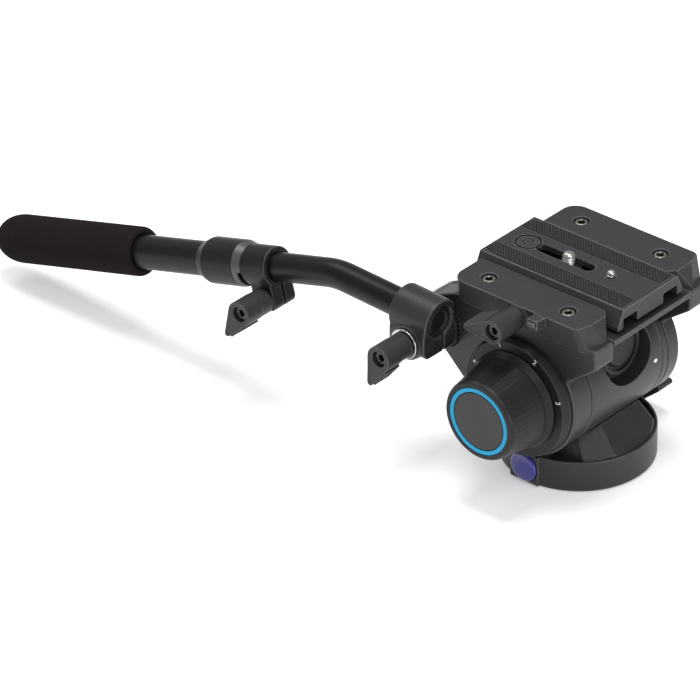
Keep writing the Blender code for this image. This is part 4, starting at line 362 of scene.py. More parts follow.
def makePaintedHighlightGroup():
    # painted edge highlight: convex places where the rounded normal leaves the surface's own, broken up by
    # noise; it stands in for the light that rounded edges catch
    group, source, result = newGroup("paintedEdgeHighlight", highlightSizes, ["Mask"])
    shape = addNode(group, "ShaderNodeNewGeometry")
    rounded = addNode(group, "ShaderNodeBevel")
    rounded.samples = 4
    turn = addNode(group, "ShaderNodeVectorMath", "DOT_PRODUCT")
    edge, convex, mix = (addNode(group, "ShaderNodeMapRange", **{"From Min": low, "From Max": high})
                         for low, high in highlightRamps)
    place = addNode(group, "ShaderNodeTexCoord")
    breaks = addNode(group, "ShaderNodeTexNoise", Detail=4.0)
    onEdge = addNode(group, "ShaderNodeMath", "MULTIPLY")
    product = addNode(group, "ShaderNodeMath", "MULTIPLY")
    inverse = addNode(group, "ShaderNodeMath", "SUBTRACT")
    inverse.inputs[0].default_value = 1.0
    wire(group, (source, "Reach", rounded, "Radius"), (rounded, "Normal", turn, 0), (shape, "Normal", turn, 1),
         (turn, "Value", edge, "Value"), (shape, "Pointiness", convex, "Value"), (edge, 0, onEdge, 0),
         (convex, 0, onEdge, 1), (place, "Object", breaks, "Vector"), (source, "Scale", breaks, "Scale"),
         (breaks, "Fac", mix, "Value"), (source, "Break Up", inverse, 1), (inverse, 0, mix, "To Min"),
         (onEdge, 0, product, 0), (mix, 0, product, 1), (product, 0, result, "Mask"))
    return group


coatGrain = makeGrainGroup()
paintedEdgeHighlight = makePaintedHighlightGroup()


def coated(name, tones, surface, sockets, mottleScale=60.0, detail=2.0, spread=0.04):
    # a finish of two close tones, grain in its bump, and painted highlights on its convex edges
    material = bpy.data.materials.new(name)
    material.use_nodes = True
    tree = material.node_tree
    shader = tree.nodes["Principled BSDF"]
    for socket, value in sockets.items():
        shader.inputs[socket].default_value = value
    colour, secondColour, highlightColour = tones
    roughness, grainScale, strength, depth = surface
    grain = addGroup(tree, coatGrain, {
        "Grain Scale": grainScale, "Mottle Scale": mottleScale, "Detail": detail})
    # painted highlight: convex edges are mixed towards the lighter highlight tone
    edgeLight = addGroup(tree, paintedEdgeHighlight, highlightSizes)
    tone = addMix(tree, A=colour, B=secondColour)
    edge = addMix(tree, B=highlightColour)
    smoothness = addNode(tree, "ShaderNodeMapRange", **{
        "To Min": roughness - spread, "To Max": roughness + spread})
    bump = addNode(tree, "ShaderNodeBump", Strength=strength, Distance=depth * mm)
    wire(tree, (grain, "Mottle", tone, "Factor"), (tone, "Result", edge, "A"), (edgeLight, "Mask", edge, "Factor"),
         (edge, "Result", shader, "Base Color"), (grain, "Mottle", smoothness, "Value"),
         (smoothness, 0, shader, "Roughness"), (grain, "Height", bump, "Height"),
         (bump, "Normal", shader, "Normal"))
    return material


finishLooks = {
    # base tone, second tone and painted edge highlight; roughness, grain scale, bump and its depth in mm; other
    # sockets
    "texturedPaint": (((0.024, 0.024, 0.0265), (0.032, 0.032, 0.035), (0.15, 0.15, 0.155)),
        (0.48, 4200.0, 0.35, 0.05), {"Specular IOR Level": 0.32}),
    "castPaint": (((0.02, 0.02, 0.02), (0.028, 0.028, 0.028), (0.14, 0.14, 0.14)),
        (0.38, 4200.0, 0.3, 0.05), {"Specular IOR Level": 0.36}),
    "collarPaint": (((0.009, 0.009, 0.009), (0.013, 0.013, 0.013), (0.14, 0.14, 0.14)),
        (0.36, 4200.0, 0.2, 0.04), {"Specular IOR Level": 0.2}),
    "anodisedTube": (((0.005, 0.005, 0.0055), (0.007, 0.007, 0.0075), (0.04, 0.04, 0.041)),
        (0.34, 7000.0, 0.08, 0.03), {"Specular IOR Level": 0.22}),
    "knobPlastic": (((0.01, 0.0095, 0.0105), (0.013, 0.0125, 0.014), (0.05, 0.05, 0.055)),
        (0.38, 5200.0, 0.16, 0.04), {"Specular IOR Level": 0.22}),
    "wingPlastic": (((0.028, 0.027, 0.028), (0.035, 0.034, 0.035), (0.095, 0.095, 0.095)),
        (0.42, 5200.0, 0.2, 0.04), {"Specular IOR Level": 0.28}),
    "faceGrey": (((0.038, 0.038, 0.037), (0.043, 0.043, 0.042), (0.06, 0.06, 0.06)),
        (0.5, 6000.0, 0.1, 0.03), {"Specular IOR Level": 0.3}),
    "stripRubber": (((0.016, 0.016, 0.017), (0.022, 0.022, 0.023), (0.055, 0.055, 0.057)),
        (0.6, 5000.0, 0.25, 0.04), {"Specular IOR Level": 0.2}),
    "foam": (((0.012, 0.0095, 0.009), (0.018, 0.015, 0.014), (0.026, 0.022, 0.02)),
        (0.92, 1500.0, 0.9, 0.35), {"Specular IOR Level": 0.05}, 900.0, 5.0, 0.03),
    "brightSteel": (((0.46, 0.45, 0.43), (0.54, 0.53, 0.51), (0.8, 0.79, 0.77)),
        (0.26, 3000.0, 0.08, 0.02), {"Metallic": 1.0}),
    "darkSteel": (((0.11, 0.11, 0.115), (0.16, 0.16, 0.165), (0.4, 0.4, 0.4)),
        (0.34, 3000.0, 0.1, 0.02), {"Metallic": 1.0}),
    "screwSteel": (((0.2, 0.185, 0.17), (0.27, 0.25, 0.23), (0.55, 0.52, 0.49)),
        (0.32, 3000.0, 0.1, 0.02), {"Metallic": 1.0}),
    # dark brown steel for the wing screws: partly their own dark steel, partly painted shade of the deep recess
    # they sit in
    "darkAndShadedSteel": (((0.045, 0.036, 0.03), (0.07, 0.056, 0.046), (0.3, 0.28, 0.26)),
        (0.3, 3000.0, 0.1, 0.02), {"Metallic": 0.9}),
    # lighter half-metal band for the collar's chamfer: partly bare machined metal, partly a painted highlight
    # of the light the cone catches
    "bareBandAndHighlight": (((0.085, 0.083, 0.082), (0.115, 0.112, 0.11), (0.2, 0.2, 0.2)),
        (0.34, 3600.0, 0.15, 0.03), {"Metallic": 0.5}),
    "blackSteel": (((0.012, 0.012, 0.012), (0.018, 0.018, 0.018), (0.06, 0.06, 0.06)),
        (0.45, 3000.0, 0.2, 0.03), {"Metallic": 0.2}),
    "keyMetal": (((0.055, 0.055, 0.058), (0.085, 0.085, 0.09), (0.2, 0.2, 0.21)),
        (0.48, 3000.0, 0.2, 0.03), {"Metallic": 0.4}),
    # near-black finish: painted shade inside the screws' hexagon sockets
    "socketPaintedShade": (((0.01, 0.01, 0.01), (0.02, 0.019, 0.018), (0.05, 0.05, 0.05)),
        (0.5, 3000.0, 0.1, 0.02), {"Metallic": 0.5}),
    "bronze": (((0.36, 0.22, 0.09), (0.44, 0.28, 0.12), (0.6, 0.42, 0.2)),
        (0.38, 2600.0, 0.12, 0.03), {"Metallic": 1.0}),
    "blueTrim": (((0.0, 0.33, 0.6), (0.002, 0.37, 0.66), (0.02, 0.4, 0.7)),
        (0.36, 5200.0, 0.06, 0.02), {"Specular IOR Level": 0.3}),
    "badgeEnamel": (((0.014, 0.01, 0.2), (0.024, 0.026, 0.31), (0.05, 0.06, 0.36)),
        (0.1, 900.0, 0.02, 0.02), {"Coat Weight": 0.5, "Coat Roughness": 0.05}),
    "whiteInk": (((0.78, 0.78, 0.76), (0.84, 0.84, 0.82), (0.86, 0.86, 0.85)),
        (0.55, 5000.0, 0.05, 0.02), {}),
}
finishes = {name: coated(name, *look) for name, look in finishLooks.items()}
print("finishes made:", len(finishes))

shownPieces = []


def show(obj, body, nodes, finish, angle=38.0, weighted=True):
    # brings a piece to metres, gives it its finish and hangs it on its body
    mesh = obj.data
    mesh.transform(Matrix.Scale(mm, 4))
    mesh.materials.clear()
    mesh.materials.append(finishes[finish])
    mesh.shade_smooth()
    if angle:
        mesh.set_sharp_from_angle(angle=math.radians(angle))
    if weighted:
        change = obj.modifiers.new("normals", "WEIGHTED_NORMAL")
        change.keep_sharp = True
        settle(obj)
    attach(obj, body)
    if nodes:
        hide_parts(*nodes)
    shownPieces.append(obj)
    return obj

# pan base: foot, insert, bearing and nut

over = shapes["overrun"]
tilt = jointPlace("tilt_turn")
tiltHeight = tilt.z

base = {
    "edge": 0.5, "bore": 7.9, "hub": 13.0, "hubTop": 15.0, "spigot": 10.5, "flange": 3.4,
    "screws": 3, "screwAngle": 30.0, "screwCircle": 34.5, "screwHole": 2.2, "screwSink": 3.6, "sinkTop": 1.8,
    "sinkFoot": 0.4, "groove": (24.0, 28.0), "grooveDepth": 0.5,
}


def makeBase():
    low, high = cad("pan_base_plate")
    radius, edge, (grooveIn, grooveOut) = high.x, base["edge"], base["groove"]
    profile = [
        (base["spigot"], high.z, 0.3), (base["spigot"], base["hubTop"]), (base["hub"], base["hubTop"], 0.3),
        (base["hub"], base["flange"], 0.3), (radius, base["flange"], edge), (radius, low.z, edge),
        (grooveOut, low.z, 0.2), (grooveOut, base["grooveDepth"], 0.2), (grooveIn, base["grooveDepth"], 0.2),
        (grooveIn, low.z, 0.2), (base["bore"], low.z, 0.2), (base["bore"], high.z, 0.2),
    ]
    plate = turned("panBasePlate", profile, ring=True)
    sink = [(0, over), (base["screwHole"], over), (base["screwHole"], base["sinkTop"]),
            (base["screwSink"], base["sinkFoot"]), (base["screwSink"], -over), (0, -over)]
    holes = []
    for index in range(base["screws"]):
        spot = polar((0, 0), base["screwCircle"], 360.0 / base["screws"] * index + base["screwAngle"])
        holes.append(turned("holeForm%d" % index, sink, shapes["aroundSmall"], at=(*spot, 0)))
    show(shaped(plate, cuts=holes), "base", ["pan_base_plate"], "castPaint")


insert = {"pitch": 1.5875, "crest": 4.25, "root": 4.76, "lead": 0.6, "edge": 0.2, "rowsPerPitch": 8}


def makeInsert():
    # female thread: the bore's radius follows a helix between crest and root
    high = cad("tripod_thread_insert")[1]
    steps, top, radius, root = shapes["aroundSmall"], high.z, high.x, insert["root"]
    run = top - 2 * insert["lead"]
    count = int(run / insert["pitch"] * insert["rowsPerPitch"])
    bore = []
    for level in range(count + 1):
        height = insert["lead"] + run * level / count
        row = []
        for index in range(steps):
            phase = (height / insert["pitch"] - index / steps) % 1.0
            size = root - (root - insert["crest"]) * (1 - abs(2 * phase - 1))
            turn = 2 * math.pi * index / steps
            row.append((size * math.cos(turn), size * math.sin(turn), height))
        bore.append(row)
    edge = insert["edge"]
    outside = [(radius, edge), (radius, top - edge), (radius - edge, top), (root, top)]
    rows = [circleRow(*spot, steps) for spot in outside] + bore[::-1]
    rows += [circleRow(root, 0.0, steps), circleRow(radius - edge, 0.0, steps)]
    piece = skinned("tripodThread", rows, closed=True)
    show(piece, "base", ["tripod_thread_insert"], "brightSteel", 28.0)


def ringPiece(name, node, body, finish, axis="X", edge=0.25, bore=None):
    # a plain turned ring in a node's place, its bore taken from bore
    low, high = cad(node)
    index = "XYZ".index(axis)
    other = (index + 1) % 3
    radius = (high[other] - low[other]) / 2
    at = middleOf(node)
    at[index] = 0.0
    profile = [(radius, high[index], edge), (radius, low[index], edge), (bore, low[index], edge),
               (bore, high[index], edge)]
    piece = turned(name, profile, ring=True, axis=(xAxis, yAxis, zAxis)[index], at=at)
    return show(piece, body, [node], finish)


# panning housing: skirt, neck, badge boss and lock boss

housing = {
    "skirtOut": 1.1, "lip": 1.6, "lipTop": 17.6, "floor": 15.0, "lipEdge": 0.7, "foot": 1.0,
    "neckFoot": (30.0, 39.0, 12.5), "waist": (23.5, 23.5, 9.5), "offset": -2.0,
    "neckFootHeight": 14.0, "slopeTop": 31.0, "neckTop": 40.0, "saddle": 33.3,
    "boss": ((29.0, -10.6), (41.0, 7.8)), "bossTop": 18.0, "badgePocket": 1.2, "badgeRadius": 8.3,
    "lockBoss": 8.0, "lockRoot": 20.0, "lockHole": 2.8, "lockHoleRoot": 13.0,
    "ridge": 2.0, "relief": 20.0, "reliefShare": 0.28, "facetEdge": 1.4, "soften": 5,
    # (radius, roof) of the room for the hub, the bearing, the nut and the foot
    "pocket": ((16.9, 20.5), (13.4, 15.0), (31.4, 6.0), (38.9, 3.7)),
}


def neckOutline(halfWidth, halfDepth, corner):
    # rectangle with cut corners; the front left one is drawn back to a ridge with a gap behind it
    across, along, middle = halfWidth - corner, halfDepth - corner, housing["offset"]
    ridge, relief = housing["ridge"], housing["relief"]
    corners = [
        (middle + across, halfDepth), (middle - across - ridge, halfDepth),
        (middle - across - ridge - relief * housing["reliefShare"], halfDepth - relief),
        (middle - halfWidth, -along),
        (middle - across, -halfDepth), (middle + across, -halfDepth),
        (middle + halfWidth, -along), (middle + halfWidth, along),
    ]
    return roundCorners([(*spot, housing["facetEdge"], 3) for spot in corners])


def makeHousing():
    skirt, lip, lipEdge, lipTop, floor, foot = (
        housing[key] for key in ("skirtOut", "lip", "lipEdge", "lipTop", "floor", "foot"))
    radius = cad("pan_base_plate")[1].x + skirt
    profile = [
        (0, floor), (radius - lip, floor, 0.8), (radius - lip, lipTop, lipEdge), (radius, lipTop, lipEdge),
        (radius, foot, 0.4), (0, foot),
    ]
    body = turned("panHousing", profile)
    sections = [(housing["neckFootHeight"], housing["neckFoot"]), (housing["slopeTop"], housing["waist"]),
                (housing["neckTop"], housing["waist"])]
    neck = skinned("neckForm", [[(x, y, height) for x, y in neckOutline(*sizes)] for height, sizes in sections])
    limit = bar("neckLimit", radius - lip - 0.3, 0, housing["neckTop"] + over, zAxis, (0, 0, 0))
    neck = shaped(neck, keeps=[limit])
    lock = jointPlace("pan_lock_turn")
    lockSpot, badgeSpot = (0, lock.y, lock.z), (0, *middleOf("base_badge").yz)
    bossRear, bossFront = housing["boss"]
    boss = block("bossForm", (*bossRear, foot), (*bossFront, housing["bossTop"]), 1.0)
    lockBoss = bar("lockBossForm", housing["lockBoss"], housing["lockRoot"], -lock.x + 0.3, -xAxis, lockSpot,
                   0.6)
    cuts = [
        turned("pocketForm", stepped(housing["pocket"], -over)),
        bar("saddleForm", housing["saddle"], -50, 50, xAxis, (0, 0, tiltHeight)),
        bar("badgeForm", housing["badgeRadius"], bossFront[0] - housing["badgePocket"], bossFront[0] + over,
            xAxis, badgeSpot),
        bar("lockHole", housing["lockHole"], housing["lockHoleRoot"], 50, -xAxis, lockSpot,
            steps=shapes["aroundSmall"]),
    ]
    shaped(body, [neck, boss, lockBoss], cuts, voxel=shapes["voxel"], soften=housing["soften"])
    show(body, "pan", ["pan_housing"], "castPaint", 50.0)


badge = {"crown": 1.6, "facets": 12}


def makeBadge():
    low, high = cad("base_badge")
    radius = (high.z - low.z) / 2
    rim = high.x - badge["crown"]
    profile = [(0, high.x)]
    for index in range(1, badge["facets"]):
        share = index / badge["facets"]
        profile.append((radius * share, rim + badge["crown"] * math.sqrt(1 - share * share)))
    profile += [(radius, rim, 0.3), (radius, low.x), (0, low.x)]
    piece = turned("baseBadge", profile, axis=xAxis, at=(0, *middleOf("base_badge").yz))
    show(piece, "pan", ["base_badge"], "badgeEnamel")


# tilt drum and its front cap

drum = {
    "edge": 0.8, "seamWidth": 0.7, "seamDepth": 0.6, "seamInset": 4.0, "bore": 12.0, "scoop": 17.2,
    "scoopLip": (18.8, 33.0), "scoopFloor": 22.5, "capRise": 16.3, "capPitch": 6.0, "capRadius": 15.0,
    "capFace": 26.2, "capRoot": 14.7, "capRing": 12.4, "capDisc": 9.6, "capStep": 0.9, "capRoom": 0.3,
    "sweep": 38.2, "soften": 3,
}


def capFrame():
    pitch = math.radians(drum["capPitch"])
    direction = Vector((0, math.cos(pitch), math.sin(pitch)))
    return direction, Vector((0, 0, tiltHeight + drum["capRise"] - drum["capFace"] * math.tan(pitch)))


def makeDrum():
    low, high = cad("tilt_drum")
    radius, edge, bore = (high.y - low.y) / 2, drum["edge"], drum["bore"]
    seam = low.x + drum["seamInset"]
    seamEnd, seamFloor = seam + drum["seamWidth"], radius - drum["seamDepth"]
    profile = [
        (radius, high.x, edge), (radius, seamEnd, 0.3), (seamFloor, seamEnd, 0.2), (seamFloor, seam, 0.2),
        (radius, seam, 0.3), (radius, low.x, edge), (bore, low.x, 0.4), (bore, high.x, 0.4),
    ]
    body = turned("tiltDrum", profile, ring=True, axis=xAxis, at=(0, 0, tiltHeight))
    direction, at = capFrame()
    lipRadius, lipHeight = drum["scoopLip"]
    capRoom, capFloor = drum["capRadius"] + drum["capRoom"], drum["capRoot"] - drum["capRoom"]
    scoop = turned("scoopForm", [
        (0, 60), (lipRadius, 60), (lipRadius, lipHeight), (drum["scoop"], drum["scoopFloor"], 2.2),
        (capRoom, drum["scoopFloor"]), (capRoom, capFloor), (0, capFloor)], axis=direction, at=at)
    shaped(body, cuts=[scoop], voxel=shapes["voxel"], soften=drum["soften"])
    show(body, "pan", ["tilt_drum"], "castPaint", 50.0)


def makeCap():
    direction, at = capFrame()
    face, step, ringIn, disc, radius, root = (
        drum[key] for key in ("capFace", "capStep", "capRing", "capDisc", "capRadius", "capRoot"))
    profile = [
        (0, face - step / 2), (disc, face - step / 2, 0.3), (disc + step, face - 2 * step, 0.3),
        (ringIn - step / 2, face - 1.4 * step, 0.3), (ringIn, face, 0.35), (radius - 0.1, face, 0.8),
        (radius, root, 0.2), (0, root),
    ]
    cap = turned("drumFrontCap", profile, axis=direction, at=at)
    sweep = bar("sweepForm", drum["sweep"], -40, 40, xAxis, (0, 0, tiltHeight))
    shaped(cap, keeps=[sweep])
    show(cap, "pan", ["drum_front_cap"], "knobPlastic", 30.0)


dot = {"height": 0.15, "dial": (154.0, 27.6, 0.8), "drum": (-19.0, 3.8, 1.35, 1.0)}


def makeDot(name, body, centre, normal, sizes):
    # a small printed oval that lies on a surface
    profile = [(0, dot["height"]), (1, dot["height"], 0.03), (1, -0.1), (0, -0.1)]
    piece = turned(name, profile, 32)
    piece.data.transform(Matrix.Diagonal((sizes[0], sizes[1], 1, 1)))
    placed(piece, normal, centre)
    return show(piece, body, [], "whiteInk")


def makeDots():
    # the dial's round zero mark, and an index mark on the drum's front
    angle, reach, radius = dot["dial"]
    centre = (cad("counterbalance_dial")[1].x, *polar((0, tiltHeight), reach, angle))
    makeDot("dialZeroMark", "tilt", centre, xAxis, (radius, radius))
    across, angle, width, length = dot["drum"]
    low, high = cad("tilt_drum")
    direction = Vector((0, *polar((0, 0), 1, angle)))
    spot = Vector((across, 0, tiltHeight)) + direction * ((high.y - low.y) / 2)
    makeDot("drumMark", "pan", spot, direction, (width, length))


# tilting cheeks

cheek = {
    "ring": 33.0, "rear": (-52.3, tiltHeight + 20.8), "rearRadius": 14.7, "heel": (29.3, tiltHeight + 18.5),
    "lugFront": 45.6, "lugDepth": 10.7, "topRear": -42.0, "startAngle": 200.4, "lugAngles": (105.0, 280.0),
    "edge": 0.9, "lugWidth": 19.0, "pocket": 13.5, "pocketDepth": 2.4, "bolt": 3.4, "axle": 8.3,
    "leftRing": 37.6, "ringRoom": 0.4, "soften": 4, "screwHole": 1.8, "lockHole": 2.8,
    # how far from the middle the left and the right cheek's inner faces stand
    "inner": (29.3, 30.7),
}


def cheekOutline(top):
    centre = (0.0, tiltHeight)
    heel = cheek["heel"]
    frontAngle = math.degrees(math.atan2(heel[1] - centre[1], heel[0] - centre[0]))
    outline = arc(centre, cheek["ring"], cheek["startAngle"], 360 + frontAngle, 80)
    outline.append((cheek["lugFront"], top - cheek["lugDepth"], 4.0))
    outline.append((cheek["lugFront"], top, 1.0))
    outline.append((cheek["topRear"], top, 8.0))
    return outline + arc(cheek["rear"], cheek["rearRadius"], *cheek["lugAngles"], 32)


def makeCheek(name, node, side):
    low, high = cad(node)
    inner = cheek["inner"][side > 0]
    outer = high.x if side > 0 else -low.x
    start, end = sorted((side * inner, side * outer))
    body = extruded(name, cheekOutline(high.z), start, end, "X", cheek["edge"])
    direction = xAxis * side
    centre, rear = (0, 0, tiltHeight), (0, *cheek["rear"])
    lugEnd = outer - cheek["lugWidth"]
    lug = bar(name + "Lug", cheek["rearRadius"] - 0.2, lugEnd, outer - 3, direction, rear, 1.0)
    cuts = [
        bar(name + "Pocket", cheek["pocket"], outer - cheek["pocketDepth"], outer + over, direction, rear),
        bar(name + "Bolt", cheek["bolt"], lugEnd - over, outer, direction, rear, steps=shapes["aroundSmall"]),
        bar(name + "Axle", cheek["axle"], inner - over, outer + over, direction, centre),
    ]
    if side < 0:
        ring = cheek["ring"] + cheek["ringRoom"]
        cuts.append(bar(name + "Recess", ring, cheek["leftRing"], outer + over, direction, centre))
        lock = jointPlace("tilt_lock_turn")
        cuts.append(bar(name + "Lock", cheek["lockHole"], inner - over, outer + over, direction,
                        (0, lock.y, lock.z), steps=shapes["aroundSmall"]))
    for number in (1, 2, 3, 4):
        screw = "platform_screw_%d" % number
        spot, foot = middleOf(screw), cad(screw)[0].z - 0.3
        if spot.x * side > 0:
            cuts.append(bar("%sScrew%d" % (name, number), cheek["screwHole"], foot, high.z + over, zAxis,
                            (spot.x, spot.y, 0), steps=24))
    shaped(body, [lug], cuts, voxel=shapes["voxel"], soften=cheek["soften"])
    show(body, "tilt", [node], "castPaint", 50.0)


rosette = {
    "teeth": 36, "stepsPerTooth": 6, "depth": 0.7, "hole": 3.7, "edge": 0.3, "land": 1.2, "landDrop": 0.4,
}


def makeRosette(name, node, body, side):
    # radial teeth cut across the face of a steel ring
    low, high = cad(node)
    radius = (high.z - low.z) / 2
    face = side * (high.x if side > 0 else low.x)
    back = side * (low.x if side > 0 else high.x)
    edge, hole, land, drop = (rosette[key] for key in ("edge", "hole", "land", "landDrop"))
    steps = rosette["teeth"] * rosette["stepsPerTooth"]
    # radius, height and share of the teeth's depth
    rings = [
        (radius - edge, back, 0), (radius, back + edge, 0), (radius, face - edge, 1), (radius - edge, face, 1),
        (hole + land + 0.2, face, 0.5), (hole + land, face - drop, 0), (hole, face - drop, 0), (hole, back, 0)]
    rows = []
    for size, height, share in rings:
        row = []
        for index in range(steps):
            turn = 2 * math.pi * index / steps
            wave = abs(2 * ((index / rosette["stepsPerTooth"]) % 1.0) - 1)
            row.append((size * math.cos(turn), size * math.sin(turn), height - rosette["depth"] * share * wave))
        rows.append(row)
    piece = placed(skinned(name, rows, closed=True), xAxis * side, (0, *middleOf(node).yz))
    show(piece, body, [node], "blackSteel", 25.0)


def makeSlab():
    low, high = cad("tilt_top_slab")
    show(block("tiltTopSlab", low, high, 0.6), "tilt", ["tilt_top_slab"], "castPaint")


# dial ring, its numbers and the counterbalance knob

dial = {
    "bore": 25.6, "bevelFoot": 0.34, "faceRadius": 30.8, "numberSize": 4.2, "numberRadius": 29.0,
    "numberAngles": ((108.0, "1"), (63.5, "2"), (17.5, "3")), "numberDepth": 0.06,
}


def makeDial():
    low, high = cad("counterbalance_dial")
    radius = (high.z - low.z) / 2
    bevelFoot = low.x + (high.x - low.x) * dial["bevelFoot"]
    profile = [(dial["faceRadius"], high.x, 0.4), (radius, bevelFoot, 0.5), (radius, low.x, 0.2),
               (dial["bore"], low.x, 0.2), (dial["bore"], high.x, 0.5)]
    piece = turned("counterbalanceDial", profile, ring=True, axis=xAxis, at=(0, 0, tiltHeight))
    show(piece, "tilt", ["counterbalance_dial"], "knobPlastic")
    # numbers lie on the front face, their feet to the knob
    for angle, figure in dial["numberAngles"]:
        turn = math.radians(angle)
        radial = Vector((0, math.cos(turn), math.sin(turn)))
        sideways = Vector((0, math.sin(turn), -math.cos(turn)))
        curve = bpy.data.curves.new("figure" + figure, "FONT")
        curve.body = figure
        curve.size = dial["numberSize"]
        curve.extrude = dial["numberDepth"]
        curve.align_x = "CENTER"
        curve.align_y = "CENTER"
        text = link("figure" + figure, curve)
        bpy.context.view_layer.update()
        mesh = bpy.data.meshes.new_from_object(text.evaluated_get(bpy.context.evaluated_depsgraph_get()))
        bpy.data.objects.remove(text, do_unlink=True)
        piece = link("dialNumber" + figure, mesh)
        turnTo = Matrix((sideways, radial, sideways.cross(radial))).transposed().to_4x4()
        place = Vector((high.x, 0, tiltHeight)) + radial * dial["numberRadius"]
        mesh.transform(Matrix.Translation(place) @ turnTo)
        show(piece, "tilt", [], "whiteInk", 30.0, weighted=False)


knob = {
    "skirtRadius": 26.0, "skirt": 0.9, "neckRadius": 23.8, "neck": 4.0, "gripRadius": 24.2, "gripInset": 1.2,
    "noseRadius": 21.2, "noseEdge": 0.9, "rim": 1.6, "coneRows": 8, "flutes": 48, "fluteDepth": 0.09,
    "fluteRises": (1.6, 2.2), "trimFloor": 1.2, "trimRoom": 0.3, "trimBore": 15.8, "bore": 4.4,
    "boreDepth": 22.0,
}


def makeKnob():
    low, high = cad("counterbalance_knob")
    trimLow, trimHigh = cad("knob_trim_ring")
    back, face = low.x, high.x
    trim, trimFloor = (trimHigh.z - trimLow.z) / 2 + knob["trimRoom"], face - knob["trimFloor"]
    skirtEnd, neckEnd = back + knob["skirt"], back + knob["neck"]
    skirt, neck, grip, nose, bore = (
        knob[key] for key in ("skirtRadius", "neckRadius", "gripRadius", "noseRadius", "bore"))
    noseEnd = face - knob["rim"]
    gripStart, gripEnd, coneTop = neckEnd + knob["gripInset"], noseEnd - knob["rim"], nose + 0.2
    profile = [(0, trimFloor), (trim, trimFloor, 0.2), (trim, face, 0.2), (nose - knob["noseEdge"], face, 0.8),
               (nose, noseEnd, 1.2), (coneTop, gripEnd, 0.3)]
    for index in range(1, knob["coneRows"]):
        share = index / knob["coneRows"]
        profile.append((coneTop + (grip - coneTop) * share, gripEnd + (gripStart - gripEnd) * share))
    boreEnd = back + knob["boreDepth"]
    profile += [
        (grip, gripStart, 0.3), (grip, neckEnd, 0.4), (neck, neckEnd - 0.3, 0.3), (skirt, skirtEnd, 0.5),
        (skirt, back, 0.3), (bore, back, 0.3), (bore, boreEnd), (0, boreEnd),
    ]

    def drawn(radius, height):
        if radius < nose - 0.6 or radius > grip + 0.1:
            return 0.0
        riseBelow, riseAbove = knob["fluteRises"]
        return max(0.0, min(1.0, (height - gripStart) / riseBelow, (noseEnd - height) / riseAbove))

    piece = turned("counterbalanceKnob", profile, axis=xAxis, at=(0, 0, tiltHeight), flutes=knob["flutes"],
                   depth=knob["fluteDepth"], fluted=drawn)
    show(piece, "counterbalance", ["counterbalance_knob"], "knobPlastic")

    ringPiece("knobTrimRing", "knob_trim_ring", "counterbalance", "blueTrim",
              bore=knob["trimBore"])
    low, high = cad("knob_face_disc")
    radius = (high.z - low.z) / 2
    profile = [(0, high.x), (radius, high.x, 0.3), (radius, low.x), (0, low.x)]
    disc = turned("knobFaceDisc", profile, axis=xAxis, at=(0, 0, tiltHeight))
    show(disc, "counterbalance", ["knob_face_disc"], "faceGrey")


drag = {
    "flutes": 24, "depth": 0.6, "edge": 1.4, "dish": 4.5, "dishDrop": 0.5, "rim": 3.6, "bore": 4.4,
    "boreEnd": 2.6,
}


def makeDragKnob():
    low, high = cad("tilt_drag_knob")
    radius = (high.z - low.z) / 2
    back, face = -high.x, -low.x
    dishFloor, boreEnd = face - drag["dishDrop"], face - drag["boreEnd"]
    profile = [(0, dishFloor), (radius - drag["dish"], dishFloor, 0.4), (radius - drag["rim"], face, 0.3),
               (radius - 0.4, face, drag["edge"])]
    profile += [(radius, back + (face - back) * share / 6) for share in (5, 4, 3, 2)]
    profile += [(radius, back, 0.6), (drag["bore"], back, 0.3), (drag["bore"], boreEnd), (0, boreEnd)]

    def drawn(size, height):
        return 1.0 if size > radius - 0.8 and back + 0.3 < height < face - 0.6 else 0.0

    piece = turned("tiltDragKnob", profile, axis=-xAxis, at=(0, 0, tiltHeight), flutes=drag["flutes"],
                   depth=drag["depth"], fluted=drawn)
    show(piece, "tilt_drag", ["tilt_drag_knob"], "knobPlastic")


# platform, its screws and the plate that slides in it

platform = {
    "rear": -43.0, "rearCorner": 8.0,
    "top": {"half": 47.8, "nose": (39.1, 38.1), "shoulder": (46.6, 35.9), "sideFront": 33.5},
    "foot": {"half": 46.3, "nose": (33.3, 44.6), "shoulder": (44.6, 40.3), "sideFront": 37.5},
    "tab": ((10.0, 16.0, 17.2), 53.6), "tabDrop": 0.3, "tabDepth": 5.6, "floor": 1.3, "channelTop": 23.6,
    "channelFoot": 25.8, "lip": 3.0, "screwPocket": 4.1, "screwDepth": 4.0, "soften": 3, "jawHalf": 14.3,
    "chamfer": (34.0, 35.0), "boss": (6.3, 45.4, 48.4), "room": 0.3, "screwHole": 1.8, "lockHole": 2.8,
}


def platformOutline(level):
    half = level["half"]
    right = [(*level["nose"], 1.2, 3), (*level["shoulder"], 1.2, 3), (half, level["sideFront"], 2.0, 3)]
    right += [(half, platform["rear"], platform["rearCorner"], 7)]
    left = [(-corner[0], *corner[1:]) for corner in reversed(right)]
    return roundCorners(right + left)


